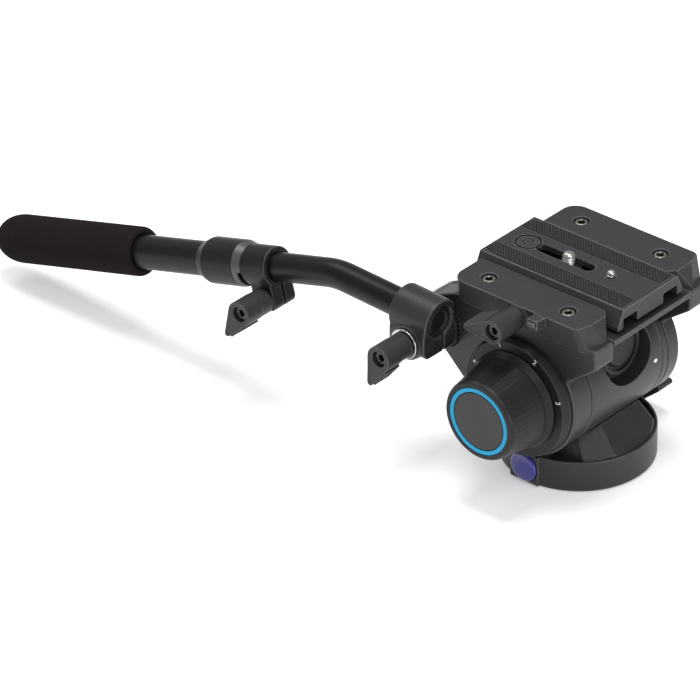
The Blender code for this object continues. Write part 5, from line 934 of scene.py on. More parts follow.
def makePlatform():
    low, high = cad("platform")
    jawHigh = cad("plate_lock_jaw")[1]
    foot, top = low.z, high.z
    rows = [[(x, y, foot) for x, y in platformOutline(platform["foot"])],
            [(x, y, top) for x, y in platformOutline(platform["top"])]]
    body = skinned("platform", rows)
    root = platform["top"]["half"] - 4
    (tabRear, tabShoulder, tabFront), reach = platform["tab"]
    tabTop = top - platform["tabDrop"]
    tab = extruded("tabForm", [
        (root, tabRear), (reach, tabRear, 0.4), (reach, tabShoulder, 0.6), (root, tabFront)],
        tabTop - platform["tabDepth"], tabTop, "Z", 0.3)
    bossRadius, bossRoot, bossFace = platform["boss"]
    lock = jointPlace("plate_lock_turn")
    lockSpot = (0, lock.y, lock.z)
    boss = bar("lockBossForm", bossRadius, bossRoot, bossFace, xAxis, lockSpot, 0.3)
    floor, lip = foot + platform["floor"], platform["lip"]
    wide, narrow = platform["channelFoot"], platform["channelTop"]
    channel = extruded("channelForm", [
        (floor, wide), (floor + lip, wide), (top, narrow), (top + over, narrow),
        (top + over, -narrow), (top, -narrow), (floor + lip, -wide), (floor, -wide)], -60, 60, "Y")
    jaw, half, room = middleOf("plate_lock_jaw").y, platform["jawHalf"], platform["room"]
    buttonLow, buttonHigh = cad("release_button")
    chamferAlong, chamferOut = platform["chamfer"]
    front = platform["foot"]["nose"][1]
    cuts = [
        channel,
        block("jawForm", (narrow - 4, jaw - half, floor - 0.3), (jawHigh.x + 1.1, jaw + half, top - lip / 2)),
        bar("lockForm", platform["lockHole"], jawHigh.x - 4, reach + over, xAxis, lockSpot, steps=36),
        block("buttonForm", (buttonLow.x - 1.0 - room, buttonLow.y - room, buttonLow.z - room),
              (reach + over, buttonHigh.y + room, buttonHigh.z + room)),
    ]
    for side in (1, -1):
        wedge = [(side * narrow / 2, chamferAlong), (side * narrow, chamferAlong),
                 (side * chamferOut, front + room), (side * narrow / 2, front + over)]
        cuts.append(extruded("chamferForm%d" % (side + 1), wedge, floor + room, top + over, "Z"))
    screwFloor = top - platform["screwDepth"]
    profile = stepped([(platform["screwPocket"], top + over), (platform["screwHole"], screwFloor)], foot - over)
    for number in (1, 2, 3, 4):
        spot = middleOf("platform_screw_%d" % number)
        cuts.append(turned("pocket%d" % number, profile, shapes["aroundSmall"], at=(spot.x, spot.y, 0)))
    shaped(body, [tab, boss], cuts, voxel=shapes["voxel"], soften=platform["soften"])
    show(body, "tilt", ["platform"], "texturedPaint", 50.0)


screwHead = {
    "radius": 3.3, "edge": 0.5, "socket": 1.9, "socketDepth": 2.1, "height": 3.0, "shank": 1.5, "lead": 0.3,
}


def hexTool(name, radius, low, high, axis, at):
    outline = [polar((0, 0), radius, 60 * index + 30) for index in range(6)]
    tool = skinned(name, [[(a, b, low) for a, b in outline], [(a, b, high) for a, b in outline]])
    return placed(tool, axis, at)


def socketScrew(name, radius, headFoot, headTop, tip, shank, socket, axis, at):
    # cap screw with a hexagon socket, its rim broken by a narrow cone
    profile = [(0, headTop), (radius, headTop, screwHead["edge"]), (radius, headFoot, 0.15),
               (shank, headFoot, 0.2), (shank, tip, 0.5), (0, tip)]
    body = turned(name, profile, shapes["aroundSmall"], axis=axis, at=at)
    lead = screwHead["lead"]
    coneEnd = headTop - 2 * lead
    socketCone = turned(name + "Cone", [
        (0, headTop + 1), (socket + lead + 1, headTop + 1), (socket - lead, coneEnd), (0, coneEnd)],
        shapes["aroundSmall"], axis=axis, at=at)
    socketHex = hexTool(name + "Hex", socket, headTop - screwHead["socketDepth"], headTop + 1, axis, at)
    return shaped(body, cuts=[socketHex, socketCone])


def tintBand(piece, finish, heights, radii, axis, at):
    # faces between two heights on an axis, and two distances from it, take a second finish
    piece.data.materials.append(finishes[finish])
    direction, spot = Vector(axis), Vector(at)
    for face in piece.data.polygons:
        out = face.center / mm - spot
        height = out.dot(direction)
        if heights[0] < height < heights[1] and radii[0] <= (out - direction * height).length < radii[1]:
            face.material_index = 1


def shadeSocket(screw, headTop, socket, axis, at):
    # painted shade: the faces inside the hexagon socket take a near-black finish in place of the shade that
    # falls there
    heights = (headTop - screwHead["socketDepth"] - 0.1, headTop - 0.2)
    tintBand(screw, "socketPaintedShade", heights, (0, socket + 0.1), axis, at)


def makePlatformScrews():
    for number in (1, 2, 3, 4):
        node = "platform_screw_%d" % number
        low, high = cad(node)
        at = (*middleOf(node).xy, 0)
        screw = socketScrew("platformScrew%d" % number, screwHead["radius"], high.z - screwHead["height"],
                            high.z, low.z, screwHead["shank"], screwHead["socket"], zAxis, at)
        show(screw, "tilt", [node], "screwSteel", 30.0)
        shadeSocket(screw, high.z, screwHead["socket"], zAxis, at)


plate = {
    "topHalf": 21.1, "footHalf": 25.2, "flankRise": 1.8, "notch": (10.0, 21.2, 5.2), "edge": 0.45,
    "strip": (9.9, 19.9), "stripEnds": (-45.4, 41.3), "stripCut": (2.4, 8.0), "stripRoom": 0.3, "pocket": 0.6,
    "valley": 0.10, "ribPitch": 1.74, "ribSlant": 0.87, "ribShares": (0.12, 0.30, 0.70, 0.88),
    "slot": (3.5, -23.6, 4.8), "slotLead": (0.4, 0.35), "track": 7.6, "trackRoof": 2.9,
    "park": (7.0, 5.7, 1.3, -33.0), "eye": (3.1, 2.2, 0.9), "pin": (2.4, 19.0), "pinLead": (0.45, 0.3),
    "well": (3.8, 2.6),
}


def stripOutline(side, grow):
    inner, outer = plate["strip"][0] - grow, plate["strip"][1] + grow
    rear, front = plate["stripEnds"][0] - grow, plate["stripEnds"][1] + grow
    across, along = plate["stripCut"]
    corners = [(inner, rear, 0.4), (outer - across, rear, 0.4), (outer, rear + along, 2.0),
               (outer, front, 0.4), (inner, front, 0.4)]
    return [(side * x, y, r) for x, y, r in corners]


def slotOutline(radius, rear, front):
    return arc((0, front), radius, 0, 180, 24) + arc((0, rear), radius, 180, 360, 24)


def makePlate():
    low, high = cad("quick_release_plate")
    foot, top = low.z, high.z
    flank = foot + plate["flankRise"]
    inner, outer, rise = plate["notch"]
    half = [(foot, plate["footHalf"], 0.3), (flank, plate["footHalf"], 0.6), (top, plate["topHalf"], 0.5)]
    notch = [(foot, inner, 0.3), (foot + rise, inner, 0.5), (foot + rise, outer, 0.5), (foot, outer, 0.3)]
    mirrored = [(z, -x, r) for z, x, r in reversed(half)] + [(z, -x, r) for z, x, r in reversed(notch)]
    section = half + mirrored + notch
    body = extruded("quickReleasePlate", section, low.y, high.y, "Y", plate["edge"])
    radius, rear, front = plate["slot"]
    leadOut, leadDepth = plate["slotLead"]
    track, trackRoof = plate["track"], top - plate["trackRoof"]
    stripFloor, room = top - plate["pocket"], plate["stripRoom"]
    cuts = [extruded("stripForm%d" % (side + 1), stripOutline(side, room), stripFloor, top + over, "Z")
            for side in (1, -1)]
    cuts += [
        extruded("slotForm", slotOutline(radius, rear, front), foot - over, top + over, "Z"),
        extruded("slotLead", slotOutline(radius + leadOut, rear, front), top - leadDepth, top + over, "Z"),
        extruded("trackForm", slotOutline(track, rear, front), foot - over, trackRoof, "Z"),
    ]
    parkAt = (0, plate["park"][3], 0)
    for number, (ringOut, ringIn, depth) in enumerate((plate["park"][:3], plate["eye"])):
        profile = [(ringOut, top + over), (ringOut, top - depth), (ringIn, top - depth), (ringIn, top + over)]
        cuts.append(turned("parkForm%d" % number, profile, shapes["aroundSmall"], ring=True, at=parkAt))
    pinRadius, pinAlong = plate["pin"]
    leadOut, leadDepth = plate["pinLead"]
    wellRadius, roof = plate["well"]
    for name, size, start, end in (
            ("pinForm", pinRadius, foot - over, top + over),
            ("pinLead", pinRadius + leadOut, top - leadDepth, top + over),
            ("wellForm", wellRadius, foot - over, top - roof)):
        cuts.append(bar(name, size, start, end, zAxis, (0, pinAlong, 0), steps=36))
    shaped(body, cuts=cuts)
    show(body, "plate", ["quick_release_plate"], "texturedPaint", 30.0)


def makeStrip(name, node, side):
    # rubber strip; both strips carry the same slanting ribs, clipped to the strip's outline
    low, high = cad(node)
    outer = plate["strip"][1] + 1
    inner = plate["strip"][0] - 1
    pitch, slant = plate["ribPitch"], plate["ribSlant"]
    rear = plate["stripEnds"][0] - slant * outer - pitch
    count = int((plate["stripEnds"][1] + slant * outer + pitch - rear) / pitch)
    base, valley, top = low.z - 1, low.z + plate["valley"], high.z
    points = [(0.0, base)]
    for index in range(count):
        rise = [pitch * (index + share) for share in plate["ribShares"]]
        points += [(rise[0], valley), (rise[1], top), (rise[2], top), (rise[3], valley)]
    points += [(pitch * count, base)]
    rows = [[(side * x, rear + slant * side * x + s, z) for s, z in points] for x in (inner, outer)]
    piece = skinned(name, rows)
    room = extruded(name + "Room", stripOutline(side, 0.0), low.z, top + 1, "Z")
    shaped(piece, keeps=[room])
    show(piece, "plate", [node], "stripRubber", 25.0, weighted=False)


cameraScrew = {
    "radius": 3.175, "pitch": 1.27, "depth": 0.52, "dome": 1.5, "domeEdge": 0.25,
    "domeShares": (0.85, 0.65, 0.4, 0.2), "head": 6.2, "headHeight": 3.2, "edge": 0.3, "washer": 6.8,
    "washerBore": 3.5,
}


def threadedRows(radius, depth, pitch, low, high, steps, runOut=0.8):
    # rings of a screw thread between two heights, fading at both ends
    rows = []
    count = max(8, int((high - low) / pitch * 10))
    for level in range(count + 1):
        height = low + (high - low) * level / count
        fade = max(0.0, min(1.0, (height - low) / runOut, (high - height) / runOut))
        row = []
        for index in range(steps):
            phase = (height / pitch - index / steps) % 1.0
            wave = min(1.0, max(0.0, abs(2 * phase - 1) * 1.25 - 0.12))
            size = radius - depth * (wave * fade + (1 - fade) * 0.35)
            turn = 2 * math.pi * index / steps
            row.append((size * math.cos(turn), size * math.sin(turn), height))
        rows.append(row)
    return rows


def makeCameraScrew():
    low, high = cad("camera_screw")
    at = (0, jointPlace("camera_screw_turn").y, 0)
    steps = shapes["aroundSmall"]
    top, radius, head, edge = high.z, cameraScrew["radius"], cameraScrew["head"], cameraScrew["edge"]
    headTop = low.z + cameraScrew["headHeight"]
    domeFoot = top - cameraScrew["dome"]
    domeEdge = domeFoot + cameraScrew["domeEdge"]
    foot = [(head - edge, low.z), (head, low.z + edge), (head, headTop - edge), (head - edge, headTop),
            (radius, headTop)]
    rows = [[(0, 0, low.z)]] + [circleRow(*spot, steps) for spot in foot]
    rows += threadedRows(radius, cameraScrew["depth"], cameraScrew["pitch"], headTop + 0.1, domeFoot, steps)
    rows += [circleRow(radius - 0.35, domeEdge, steps)]
    for share in cameraScrew["domeShares"]:
        rise = (top - domeEdge) * math.sqrt(1 - share * share)
        rows.append(circleRow((radius - 0.4) * share, domeEdge + rise, steps))
    rows.append([(0, 0, top)])
    screw = placed(skinned("cameraScrew", rows), zAxis, at)
    show(screw, "camera_screw", ["camera_screw"], "brightSteel", 40.0, weighted=False)
    low, high = cad("camera_screw_washer")
    size, bore = cameraScrew["washer"], cameraScrew["washerBore"]
    profile = [(size, high.z, 0.2), (size, low.z, 0.2), (bore, low.z, 0.1), (bore, high.z, 0.1)]
    washer = turned("cameraScrewWasher", profile, steps, ring=True, at=at)
    show(washer, "screw_washer", ["camera_screw_washer"], "darkSteel")


pin = {
    "radius": 2.1, "domeShare": 0.92, "dome": 1.1, "groove": 0.35, "grooveDrop": 1.7, "grooveWidth": 0.9,
    "flange": 3.4, "flangeHeight": 1.0,
}


def makePin():
    low, high = cad("video_pin")
    radius, top, flange = pin["radius"], high.z, pin["flange"]
    flangeTop, grooveTop = low.z + pin["flangeHeight"], top - pin["grooveDrop"]
    grooveFloor = radius - pin["groove"]
    profile = [(0, top)]
    for angle in (18, 36, 54, 72, 90):
        turn = math.radians(angle)
        profile.append((radius * pin["domeShare"] * math.sin(turn), top - pin["dome"] * (1 - math.cos(turn))))
    profile += [
        (radius, grooveTop + 0.3, 0.1), (radius, grooveTop, 0.1), (grooveFloor, grooveTop - 0.2, 0.1),
        (grooveFloor, grooveTop - 0.7, 0.1), (radius, grooveTop - pin["grooveWidth"], 0.1), (radius, flangeTop),
        (flange, flangeTop, 0.2), (flange, low.z, 0.2), (0, low.z)]
    piece = turned("videoPin", profile, shapes["aroundSmall"], at=(0, middleOf("video_pin").y, 0))
    show(piece, "video_pin", ["video_pin"], "brightSteel")


def makeButton():
    low, high = cad("release_button")
    piece = block("releaseButton", low, high, 0.4)
    show(piece, "release_button", ["release_button"], "keyMetal")


# wing knobs and their screws

wing = {
    "hub": 6.9, "smallHub": 6.1, "barrelStep": 0.2, "rim": 0.8, "dish": 0.35, "length": 17.8, "tip": 1.7,
    "knobLength": 18.8, "thickness": 11.2, "ridges": 6, "ridgeHeight": 1.0, "ridgedShare": 0.80,
    "ridgeStart": 0.6,
    # along one ridge and back down, as shares of the pitch and of the height
    "ridge": ((0.06, 0.0), (0.24, 1.0), (0.62, 1.0), (0.80, 0.0)),
    "recess": 4.2, "recessDepth": 4.5, "bore": 3.2, "screwHead": 3.8, "screwHeadHeight": 2.0, "screwLift": 0.3,
    "shank": 2.5, "handleShank": 2.7, "socket": 2.0, "soften": 1,
}


def wingOutline(angle, ridgedSide, hub, inset=0.0):
    reach = wing["length"] - wing["tip"]
    hub, tip = hub - inset, wing["tip"] - inset
    lean = math.degrees(math.acos((hub - tip) / reach))
    outline = arc((reach, 0), tip, -lean, lean, 12)
    start, end = Vector(polar((reach, 0), tip, lean)), Vector(polar((0, 0), hub, lean))
    run = end - start
    out = Vector(polar((0, 0), 1, lean))
    pitch = run.length * wing["ridgedShare"] / wing["ridges"]
    along = run.normalized()
    for index in range(0 if inset else wing["ridges"]):
        begin = pitch * (index + wing["ridgeStart"])
        for share, rise in wing["ridge"]:
            point = start + along * (begin + pitch * share) + out * (wing["ridgeHeight"] * rise)
            outline.append((point.x, point.y))
    outline += arc((0, 0), hub, lean, 360 - lean, 48)
    cosine, sine = math.cos(math.radians(angle)), math.sin(math.radians(angle))
    outline = [(a, b * ridgedSide) for a, b in outline]
    outline = [(a * cosine - b * sine, a * sine + b * cosine) for a, b in outline]
    return outline[::-1] if ridgedSide < 0 else outline


def makeWing(name, node, screwNode, body, side, angle, ridgedSide, hub=wing["hub"]):
    low, high = cad(node)
    screwLow, screwHigh = cad(screwNode)
    middle, axis = middleOf(screwNode), xAxis * side
    place = (0, *middle.yz)
    face = high.x if side > 0 else -low.x
    seat, bodyFoot = face - wing["knobLength"], face - wing["thickness"]
    dishFloor, recessFloor = face - wing["dish"], face - wing["recessDepth"]
    forms = []
    for label, inset, start, end in (("", 0.0, bodyFoot, face), ("Dish", wing["rim"], dishFloor, face + over)):
        outline = [(y + middle.y, z + middle.z) for y, z in wingOutline(angle, ridgedSide, hub, inset)]
        forms.append(extruded(name + label, outline, *sorted((side * start, side * end)), "X"))
    knobBody, dish = forms
    barrelEnd = face - wing["thickness"] / 2
    barrel = bar(name + "Barrel", hub - wing["barrelStep"], seat, barrelEnd, axis, place, 0.4)
    profile = stepped([(wing["recess"], face + over), (wing["bore"], recessFloor)], seat - over)
    bore = turned(name + "Bore", profile, shapes["aroundSmall"], axis=axis, at=place)
    shaped(knobBody, [barrel], [bore, dish], voxel=shapes["voxelSmall"], soften=wing["soften"])
    show(knobBody, body, [node], "wingPlastic", 55.0)

    headFoot = recessFloor + wing["screwLift"]
    headTop = headFoot + wing["screwHeadHeight"]
    tip = side * (screwLow.x if side > 0 else screwHigh.x)
    shank = wing["handleShank"] if "handle" in screwNode else wing["shank"]
    screw = socketScrew(name + "Screw", wing["screwHead"], headFoot, headTop, tip, shank, wing["socket"], axis,
                        place)
    # the wing screw's dark finish is partly painted shade of its recess
    show(screw, body, [screwNode], "darkAndShadedSteel", 30.0)
    shadeSocket(screw, headTop, wing["socket"], axis, place)


# handle: clamp, bent tube, plug

handle = {
    "sleeve": 12.1, "across": 58.0, "inner": 48.3, "front": -40.2, "rear": -64.0, "rise": 2.2,
    "frontHeight": tiltHeight + 31.2, "nose": 9.2, "root": 12.8, "webDepth": 17.2, "webWaist": 5.0,
    "webCorner": 3.0, "slit": 1.0, "slitShift": -2.2, "slitRoof": 2.0, "edge": 0.8, "bore": 7.8, "bolt": 3.3,
    "lead": 0.9, "leadStart": 0.35, "tube": 7.5, "wall": 1.2, "drop": 15.9, "bendAlong": -107.1,
    "bendRadius": 42.0, "bendSteps": 24, "inset": 0.8, "plug": 5.0, "plugLip": 0.3, "plugDish": (2.6, 1.6, 1.3),
    "reach": 190.0, "soften": 4,
}
farLeg = Vector((0, -math.cos(math.radians(handle["drop"])), -math.sin(math.radians(handle["drop"]))))
nearLeg = Vector((0, -math.cos(math.radians(handle["rise"])), math.sin(math.radians(handle["rise"]))))
tubeFront = Vector((handle["across"], handle["front"], handle["frontHeight"]))
bend = tubeFront + nearLeg * ((handle["front"] - handle["bendAlong"]) / -nearLeg.y)
farLegUp = Vector((0, farLeg.z, -farLeg.y))


def onFarLeg(distance, drop=0.0, across=0.0):
    return bend + farLeg * distance - farLegUp * drop + xAxis * across


def makeClamp():
    bolt = (0, *cheek["rear"])
    outer, inner = cad("handle_clamp")[1].x, handle["inner"]
    front, rear, top, sleeve = handle["front"], handle["rear"], handle["frontHeight"], handle["sleeve"]
    length = (front - rear) / -nearLeg.y
    body = bar("handleClamp", sleeve, 0, length, nearLeg, tubeFront, handle["edge"])
    nose = turned("noseForm", [(0, outer), (handle["nose"], outer, 0.6), (handle["root"], inner - 0.6),
                               (0, inner - 0.6)], axis=xAxis, at=bolt)
    foot, corner = top - handle["webDepth"], handle["webCorner"]
    webOuter = outer - 0.3
    web = extruded("webForm", [
        (top, inner - 1), (top, handle["across"] + sleeve - 0.3), (top - handle["webWaist"], webOuter),
        (foot + corner, webOuter), (foot, webOuter - corner), (foot, inner - 1)],
        rear + handle["edge"], front - handle["edge"] / 2, "Y", handle["edge"])
    slitMiddle, slitHalf = handle["across"] + handle["slitShift"], handle["slit"] / 2
    bore, lead, leadStart = handle["bore"], handle["lead"], handle["leadStart"]
    cuts = [
        bar("sideRoom", 40, 0, inner, xAxis, bolt),
        turned("tubeBore", [
            (0, -over), (bore + lead, -over), (bore + lead, leadStart), (bore, leadStart + lead),
            (bore, length + over), (0, length + over)], axis=nearLeg, at=tubeFront),
        block("slitForm", (slitMiddle - slitHalf, rear - over, foot - over),
              (slitMiddle + slitHalf, front + over, top - handle["slitRoof"])),
        bar("boltForm", handle["bolt"], inner - over, outer + over, xAxis, bolt, steps=36),
    ]
    shaped(body, [nose, web], cuts, voxel=shapes["voxel"], soften=handle["soften"])
    show(body, "handle", ["handle_clamp"], "castPaint", 50.0)


def tubePath():
    turn, radius = math.radians(handle["rise"] + handle["drop"]), handle["bendRadius"]
    start = bend - nearLeg * (radius * math.tan(turn / 2))
    inward = Vector((0, -nearLeg.z, nearLeg.y))
    centre = start + inward * radius
    points = [tubeFront + nearLeg * (handle["inset"] + handle["plug"])]
    for index in range(handle["bendSteps"] + 1):
        angle = turn * index / handle["bendSteps"]
        points.append(centre - inward * (radius * math.cos(angle)) + nearLeg * (radius * math.sin(angle)))
    points.append(onFarLeg(handle["reach"]))
    return points


def makeTube():
    radius = handle["tube"]
    tube = tubeAlong("innerTube", tubePath(), radius, radius - handle["wall"], shapes["around"])
    show(tube, "handle", ["inner_tube"], "anodisedTube", 40.0)
    front = handle["plug"] - handle["plugLip"]
    dishRim, lip, depth = handle["plugDish"]
    profile = [(0, front - depth), (radius - dishRim, front - depth, 0.5), (radius - lip, front, 0.3),
               (radius - 0.1, front, 0.5), (radius, 0), (0, 0)]
    place = tubeFront + nearLeg * (handle["inset"] + front)
    plug = turned("tubeEndPlug", profile, axis=-nearLeg, at=place)
    show(plug, "handle", ["tube_end_plug"], "knobPlastic")


# extension: outer tube, collar and foam grip

collar = {
    "front": 41.8, "jawEnd": 58.5, "shoulder": 63.5, "bodyEnd": 85.3, "rear": 91.2, "jaw": 10.5, "radius": 12.1,
    "rearRadius": 9.7, "boreEnd": 64.0, "boreRoom": 0.3, "earHalf": 8.0, "earTop": 5.0, "earDrop": 21.8,
    "earLength": 14.5, "earCorner": 4.0, "earEdge": 0.9, "slit": 1.6, "lockDrop": 15.2, "lockAlong": 48.5,
    "lockHole": 2.8, "relief": (58.4, 2.4, 0.5), "outer": 9.0, "outerWall": 1.1, "tubeEnd": 235.2, "soften": 3,
}


def legForm(obj):
    # a form drawn with Y up and -Z along the handle is set on the far leg
    turn = Matrix((xAxis, farLegUp, -farLeg)).transposed().to_4x4()
    obj.data.transform(Matrix.Translation(bend) @ turn)
    obj.data.flip_normals()
    return obj


def makeCollar():
    room, radius, half, foot = collar["boreRoom"], collar["radius"], collar["earHalf"], collar["earDrop"]
    frontBore, rearBore = handle["tube"] + room, collar["outer"] + room
    front, rear, jaw = collar["front"], collar["rear"], collar["jaw"]
    profile = [
        (0, rear), (collar["rearRadius"], rear, 0.6), (radius, collar["bodyEnd"], 0.8),
        (radius, collar["shoulder"], 0.5), (jaw, collar["jawEnd"], 0.4), (jaw, front, 0.7), (0, front)]
    body = turned("extensionCollar", profile, axis=farLeg, at=bend)
    start, earTop, corner = front + 0.3, collar["earTop"], collar["earCorner"]
    end = start + collar["earLength"]
    ears = extruded("earForm", [
        (-start, -earTop), (-start, -foot, corner), (-end, -foot, corner), (-end, -earTop)],
        -half, half, "Z", collar["earEdge"])
    # the outline lies in (z, y): swap it into place across X
    ears.data.transform(Matrix(((0, 0, 1, 0), (0, 1, 0, 0), (1, 0, 0, 0), (0, 0, 0, 1))))
    ears.data.flip_normals()
    legForm(ears)
    reliefStart, reliefWidth, reliefDrop = collar["relief"]
    reach, slitHalf = radius + over, collar["slit"] / 2
    bores = stepped([(rearBore, rear + over), (frontBore, collar["boreEnd"])], front - over)
    cuts = [
        turned("boreForm", bores, axis=farLeg, at=bend),
        legForm(block("slitForm", (-slitHalf, -foot - over, -reliefStart - reliefWidth / 2),
                      (slitHalf, -frontBore / 2, -front + over))),
        legForm(block("reliefForm", (-reach, -reach, -reliefStart - reliefWidth),
                      (reach, -reliefDrop, -reliefStart))),
        bar("boltForm", collar["lockHole"], -half - over, half + over, xAxis,
            onFarLeg(collar["lockAlong"], collar["lockDrop"]), steps=36),
    ]
    shaped(body, [ears], cuts, voxel=shapes["voxel"], soften=collar["soften"])
    show(body, "extension", ["extension_collar"], "collarPaint", 50.0)
    # the chamfer band between jaw and shoulder: partly bare metal, partly a painted highlight
    heights = (collar["jawEnd"] + 0.3, collar["shoulder"] - 0.2)
    tintBand(body, "bareBandAndHighlight", heights, (jaw + 0.05, reach), farLeg, bend)
    size, bore = collar["outer"], collar["outer"] - collar["outerWall"]
    start, end = collar["boreEnd"] + room, collar["tubeEnd"]
    profile = [(size, end, 0.2), (size, start, 0.2), (bore, start, 0.2), (bore, end, 0.2)]
    outer = turned("outerTube", profile, ring=True, axis=farLeg, at=bend)
    show(outer, "extension", ["outer_tube"], "anodisedTube")


grip = {
    "start": 138.6, "end": 245.5, "radius": 13.0, "dome": 18.0, "power": 0.85, "front": 2.4, "frontSteps": 6,
    "bore": 9.3, "boreEdge": 0.3, "wall": 10.0, "grain": 0.16, "grainSize": 0.9, "fineGrain": 2.3, "pitch": 0.5,
    "domeLength": 30.0,
}


def gripOutline(pitch):
    # radius and height from the bore's front edge over the sleeve to the tip of the dome
    start, radius, front, bore = (grip[key] for key in ("start", "radius", "front", "bore"))
    shoulder = grip["end"] - grip["dome"]
    outline = [(bore, start + grip["boreEdge"]), (bore + grip["boreEdge"], start)]
    for index in range(grip["frontSteps"] + 1):
        angle = math.pi / 2 * index / grip["frontSteps"]
        outline.append((radius - front * (1 - math.sin(angle)), start + front * (1 - math.cos(angle))))
    length = shoulder - start - front
    count = int(length / pitch)
    outline += [(radius, start + front + length * index / count) for index in range(1, count)]
    count = int(grip["domeLength"] / pitch)
    for index in range(count):
        angle = math.pi / 2 * (1 - index / count)
        outline.append((radius * math.sin(angle) ** grip["power"], shoulder + grip["dome"] * math.cos(angle)))
    return outline


def makeGrip():
    # foam sleeve; its skin is a fine grid pushed in by cell-sized noise
    pitch, cell, bore = grip["pitch"] * 1, grip["grainSize"], grip["bore"]
    around = int(2 * math.pi * grip["radius"] / pitch)
    rows = []
    for size, height in gripOutline(pitch):
        row = []
        for index in range(around):
            turn = 2 * math.pi * index / around
            out = Vector((math.cos(turn), math.sin(turn), 0))
            spot = out * size + zAxis * height
            if size > bore + 1 or height > grip["end"] - grip["dome"]:
                dent = (noise.noise(spot / cell) + 0.5 * noise.noise(spot * grip["fineGrain"] / cell)) * 0.5
                spot -= out * (grip["grain"] * (0.5 + dent))
            row.append(tuple(spot))
        rows.append(row)
    rows.append([(0, 0, grip["end"])])
    boreEnd = grip["end"] - grip["wall"]
    inner = [[(0, 0, boreEnd)], circleRow(bore, boreEnd, around)]
    piece = skinned("foamGrip", (inner + rows)[::-1])
    placed(piece, farLeg, bend)
    show(piece, "extension", ["foam_grip"], "foam", 0.0, weighted=False)


# stage, lights and camera

studio = {
    "floorSize": 12.0, "floorColour": (0.93, 0.93, 0.93), "floorLift": 0.30, "world": 0.44,
    "camera": {"azimuth": 131.52, "elevation": 31.58, "roll": -0.78, "distance": 2500.0,
               "aim": (-113.92, 49.83), "lens": 257.14, "sensor": 36.0},
    "lampSize": 0.8,
    # name, place in metres, power in watts
    "lamps": (
        ("topBox", (0.0, 0.0, 2.0), 23.0), ("rearTopBox", (0.0, -1.2, 1.6), 7.5),
        ("frontBox", (0.3, 1.95, 0.45), 11.0), ("frontTopBox", (0.2, 1.3, 1.5), 4.0),
        ("cameraBox", (0.9, 0.9, 1.6), 5.0),
    ),
    "target": (0.0, -0.05, 0.06),
}


def seenRays(tree):
    # 1 for the rays that show the background: camera, glossy and transmission
    path = addNode(tree, "ShaderNodeLightPath")
    either = addNode(tree, "ShaderNodeMath", "MAXIMUM")
    anyRay = addNode(tree, "ShaderNodeMath", "MAXIMUM")
    wire(tree, (path, "Is Camera Ray", either, 0), (path, "Is Glossy Ray", either, 1), (either, 0, anyRay, 0),
         (path, "Is Transmission Ray", anyRay, 1))
    return anyRay


def makeFloorFinish():
    material = bpy.data.materials.new("studioFloor")
    material.use_nodes = True
    tree = material.node_tree
    shader = tree.nodes["Principled BSDF"]
    shader.inputs["Base Color"].default_value = (*studio["floorColour"], 1.0)
    shader.inputs["Roughness"].default_value = 0.9
    shader.inputs["Specular IOR Level"].default_value = 0.1
    shader.inputs["Emission Color"].default_value = (1, 1, 1, 1)
    lift = addNode(tree, "ShaderNodeMath", "MULTIPLY")
    lift.inputs[1].default_value = studio["floorLift"]
    wire(tree, (seenRays(tree), 0, lift, 0), (lift, 0, shader, "Emission Strength"))
    return material


def makeStage():
    size = studio["floorSize"] / 2
    mesh = bpy.data.meshes.new("studioFloor")
    corners = [(-size, -size, 0), (size, -size, 0), (size, size, 0), (-size, size, 0)]
    mesh.from_pydata(corners, [], [(0, 1, 2, 3)])
    floor = link("studioFloor", mesh)
    mesh.materials.append(makeFloorFinish())
    world = bpy.data.worlds.new("studioWorld")
    bpy.context.scene.world = world
    world.use_nodes = True
    tree = world.node_tree
    background = tree.nodes["Background"]
    background.inputs["Color"].default_value = (1, 1, 1, 1)
    background.inputs["Strength"].default_value = studio["world"]
    for name, place, power in studio["lamps"]:
        light = bpy.data.lights.new(name, "AREA")
        light.shape = "RECTANGLE"
        light.size = light.size_y = studio["lampSize"]
        light.energy = power
        lamp = link(name, light)
        lamp.location = place
        lamp.rotation_euler = (Vector(studio["target"]) - Vector(place)).to_track_quat("-Z", "Y").to_euler()


def makeCamera():
    view = studio["camera"]
    azimuth, elevation, roll = (math.radians(view[key]) for key in ("azimuth", "elevation", "roll"))
    right = Vector((math.cos(azimuth), math.sin(azimuth), 0))
    back = Vector((math.sin(azimuth) * math.cos(elevation), -math.cos(azimuth) * math.cos(elevation),
                   math.sin(elevation)))
    up = back.cross(right)
    across = right * math.cos(roll) + up * math.sin(roll)
    upward = up * math.cos(roll) - right * math.sin(roll)
    place = across * view["aim"][0] + upward * view["aim"][1] + back * view["distance"]
    data = bpy.data.cameras.new("photoView")
    data.lens, data.sensor_width = view["lens"], view["sensor"]
    data.clip_end = 20.0
    camera = link("photoView", data)
    turn = Matrix((across, upward, back)).transposed().to_4x4()
    camera.matrix_world = Matrix.Translation(place * mm) @ turn
    bpy.context.scene.camera = camera


makeBase()
makeInsert()
ringPiece("panBearing", "pan_bearing", "base", "bronze", "Z", bore=20.0)
ringPiece("panRetainingNut", "pan_retaining_nut", "base", "darkSteel", "Z", bore=10.8)
makeHousing()
makeBadge()
print("base and panning housing made")

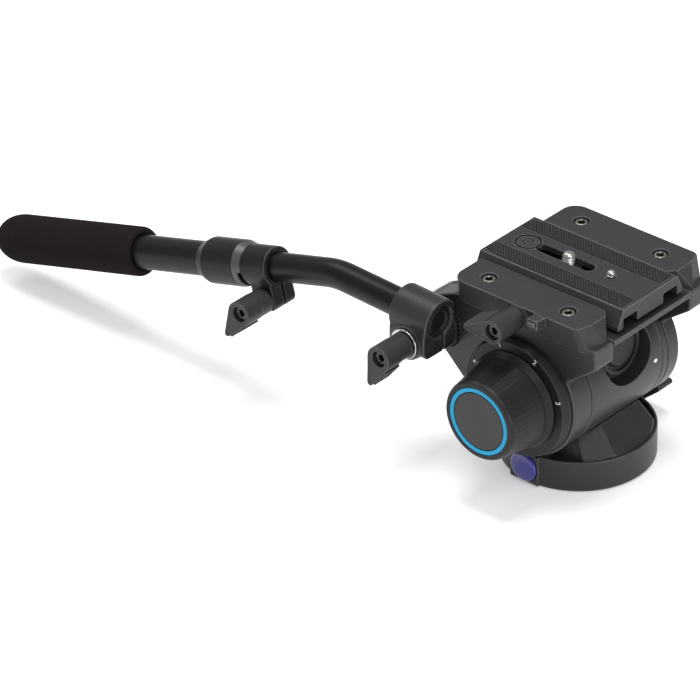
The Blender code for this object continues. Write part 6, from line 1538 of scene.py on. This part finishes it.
makeDrum()
makeCap()
makeDots()
ringPiece("tiltBearingRight", "tilt_bearing_right", "pan", "bronze", bore=8.3)
ringPiece("tiltBearingLeft", "tilt_bearing_left", "pan", "bronze", bore=8.3)
ringPiece("tiltAxle", "tilt_axle", "tilt", "darkSteel", bore=4.5)
ringPiece("damperRotor", "damper_rotor", "tilt", "knobPlastic", bore=8.3)
makeCheek("rightCheek", "right_cheek", 1)
makeCheek("leftCheek", "left_cheek", -1)
makeRosette("rightRosette", "right_rosette", "tilt", 1)
makeRosette("leftRosette", "left_rosette", "tilt", -1)
makeRosette("handleRosette", "handle_rosette", "handle", -1)
makeSlab()
makeDial()
makeKnob()
makeDragKnob()
print("tilt unit made")

makePlatform()
makePlatformScrews()
makePlate()
makeStrip("gripStripRight", "grip_strip_right", 1)
makeStrip("gripStripLeft", "grip_strip_left", -1)
makeCameraScrew()
makePin()
makeButton()
print("platform and plate made")

makeWing("panLockKnob", "pan_lock_knob", "pan_lock_screw", "pan_lock", -1, 22.0, 1)
makeWing("tiltLockKnob", "tilt_lock_knob", "tilt_lock_screw", "tilt_lock", -1, 200.0, 1)
makeWing("plateLockKnob", "plate_lock_knob", "plate_lock_screw", "plate_lock", 1, 189.0, -1, wing["smallHub"])
makeWing("handleLockKnob", "handle_lock_knob", "handle_lock_screw", "handle_lock", 1, 250.0, 1)
makeWing("collarLockKnob", "collar_lock_knob", "collar_lock_screw", "collar_lock", 1, 240.0, 1)
print("locks made")

makeClamp()
makeTube()
makeCollar()
makeGrip()
ringPiece("handleWasher", "handle_washer", "handle_lock", "brightSteel", edge=0.3, bore=3.3)
print("handle made")

innerLooks = {
    "counterbalance_spring": "darkSteel", "counterbalance_shaft": "darkSteel", "tilt_drag_shaft": "darkSteel",
    "plate_lock_jaw": "brightSteel",
}
for node, finish in innerLooks.items():
    for materialSlot in frame["nodes"][node].material_slots:
        materialSlot.material = finishes[finish]

makeStage()
makeCamera()
scene = bpy.context.scene
scene.view_settings.view_transform = "Standard"
print("pieces:", len(shownPieces), "facets:", sum(len(piece.data.polygons) for piece in shownPieces))
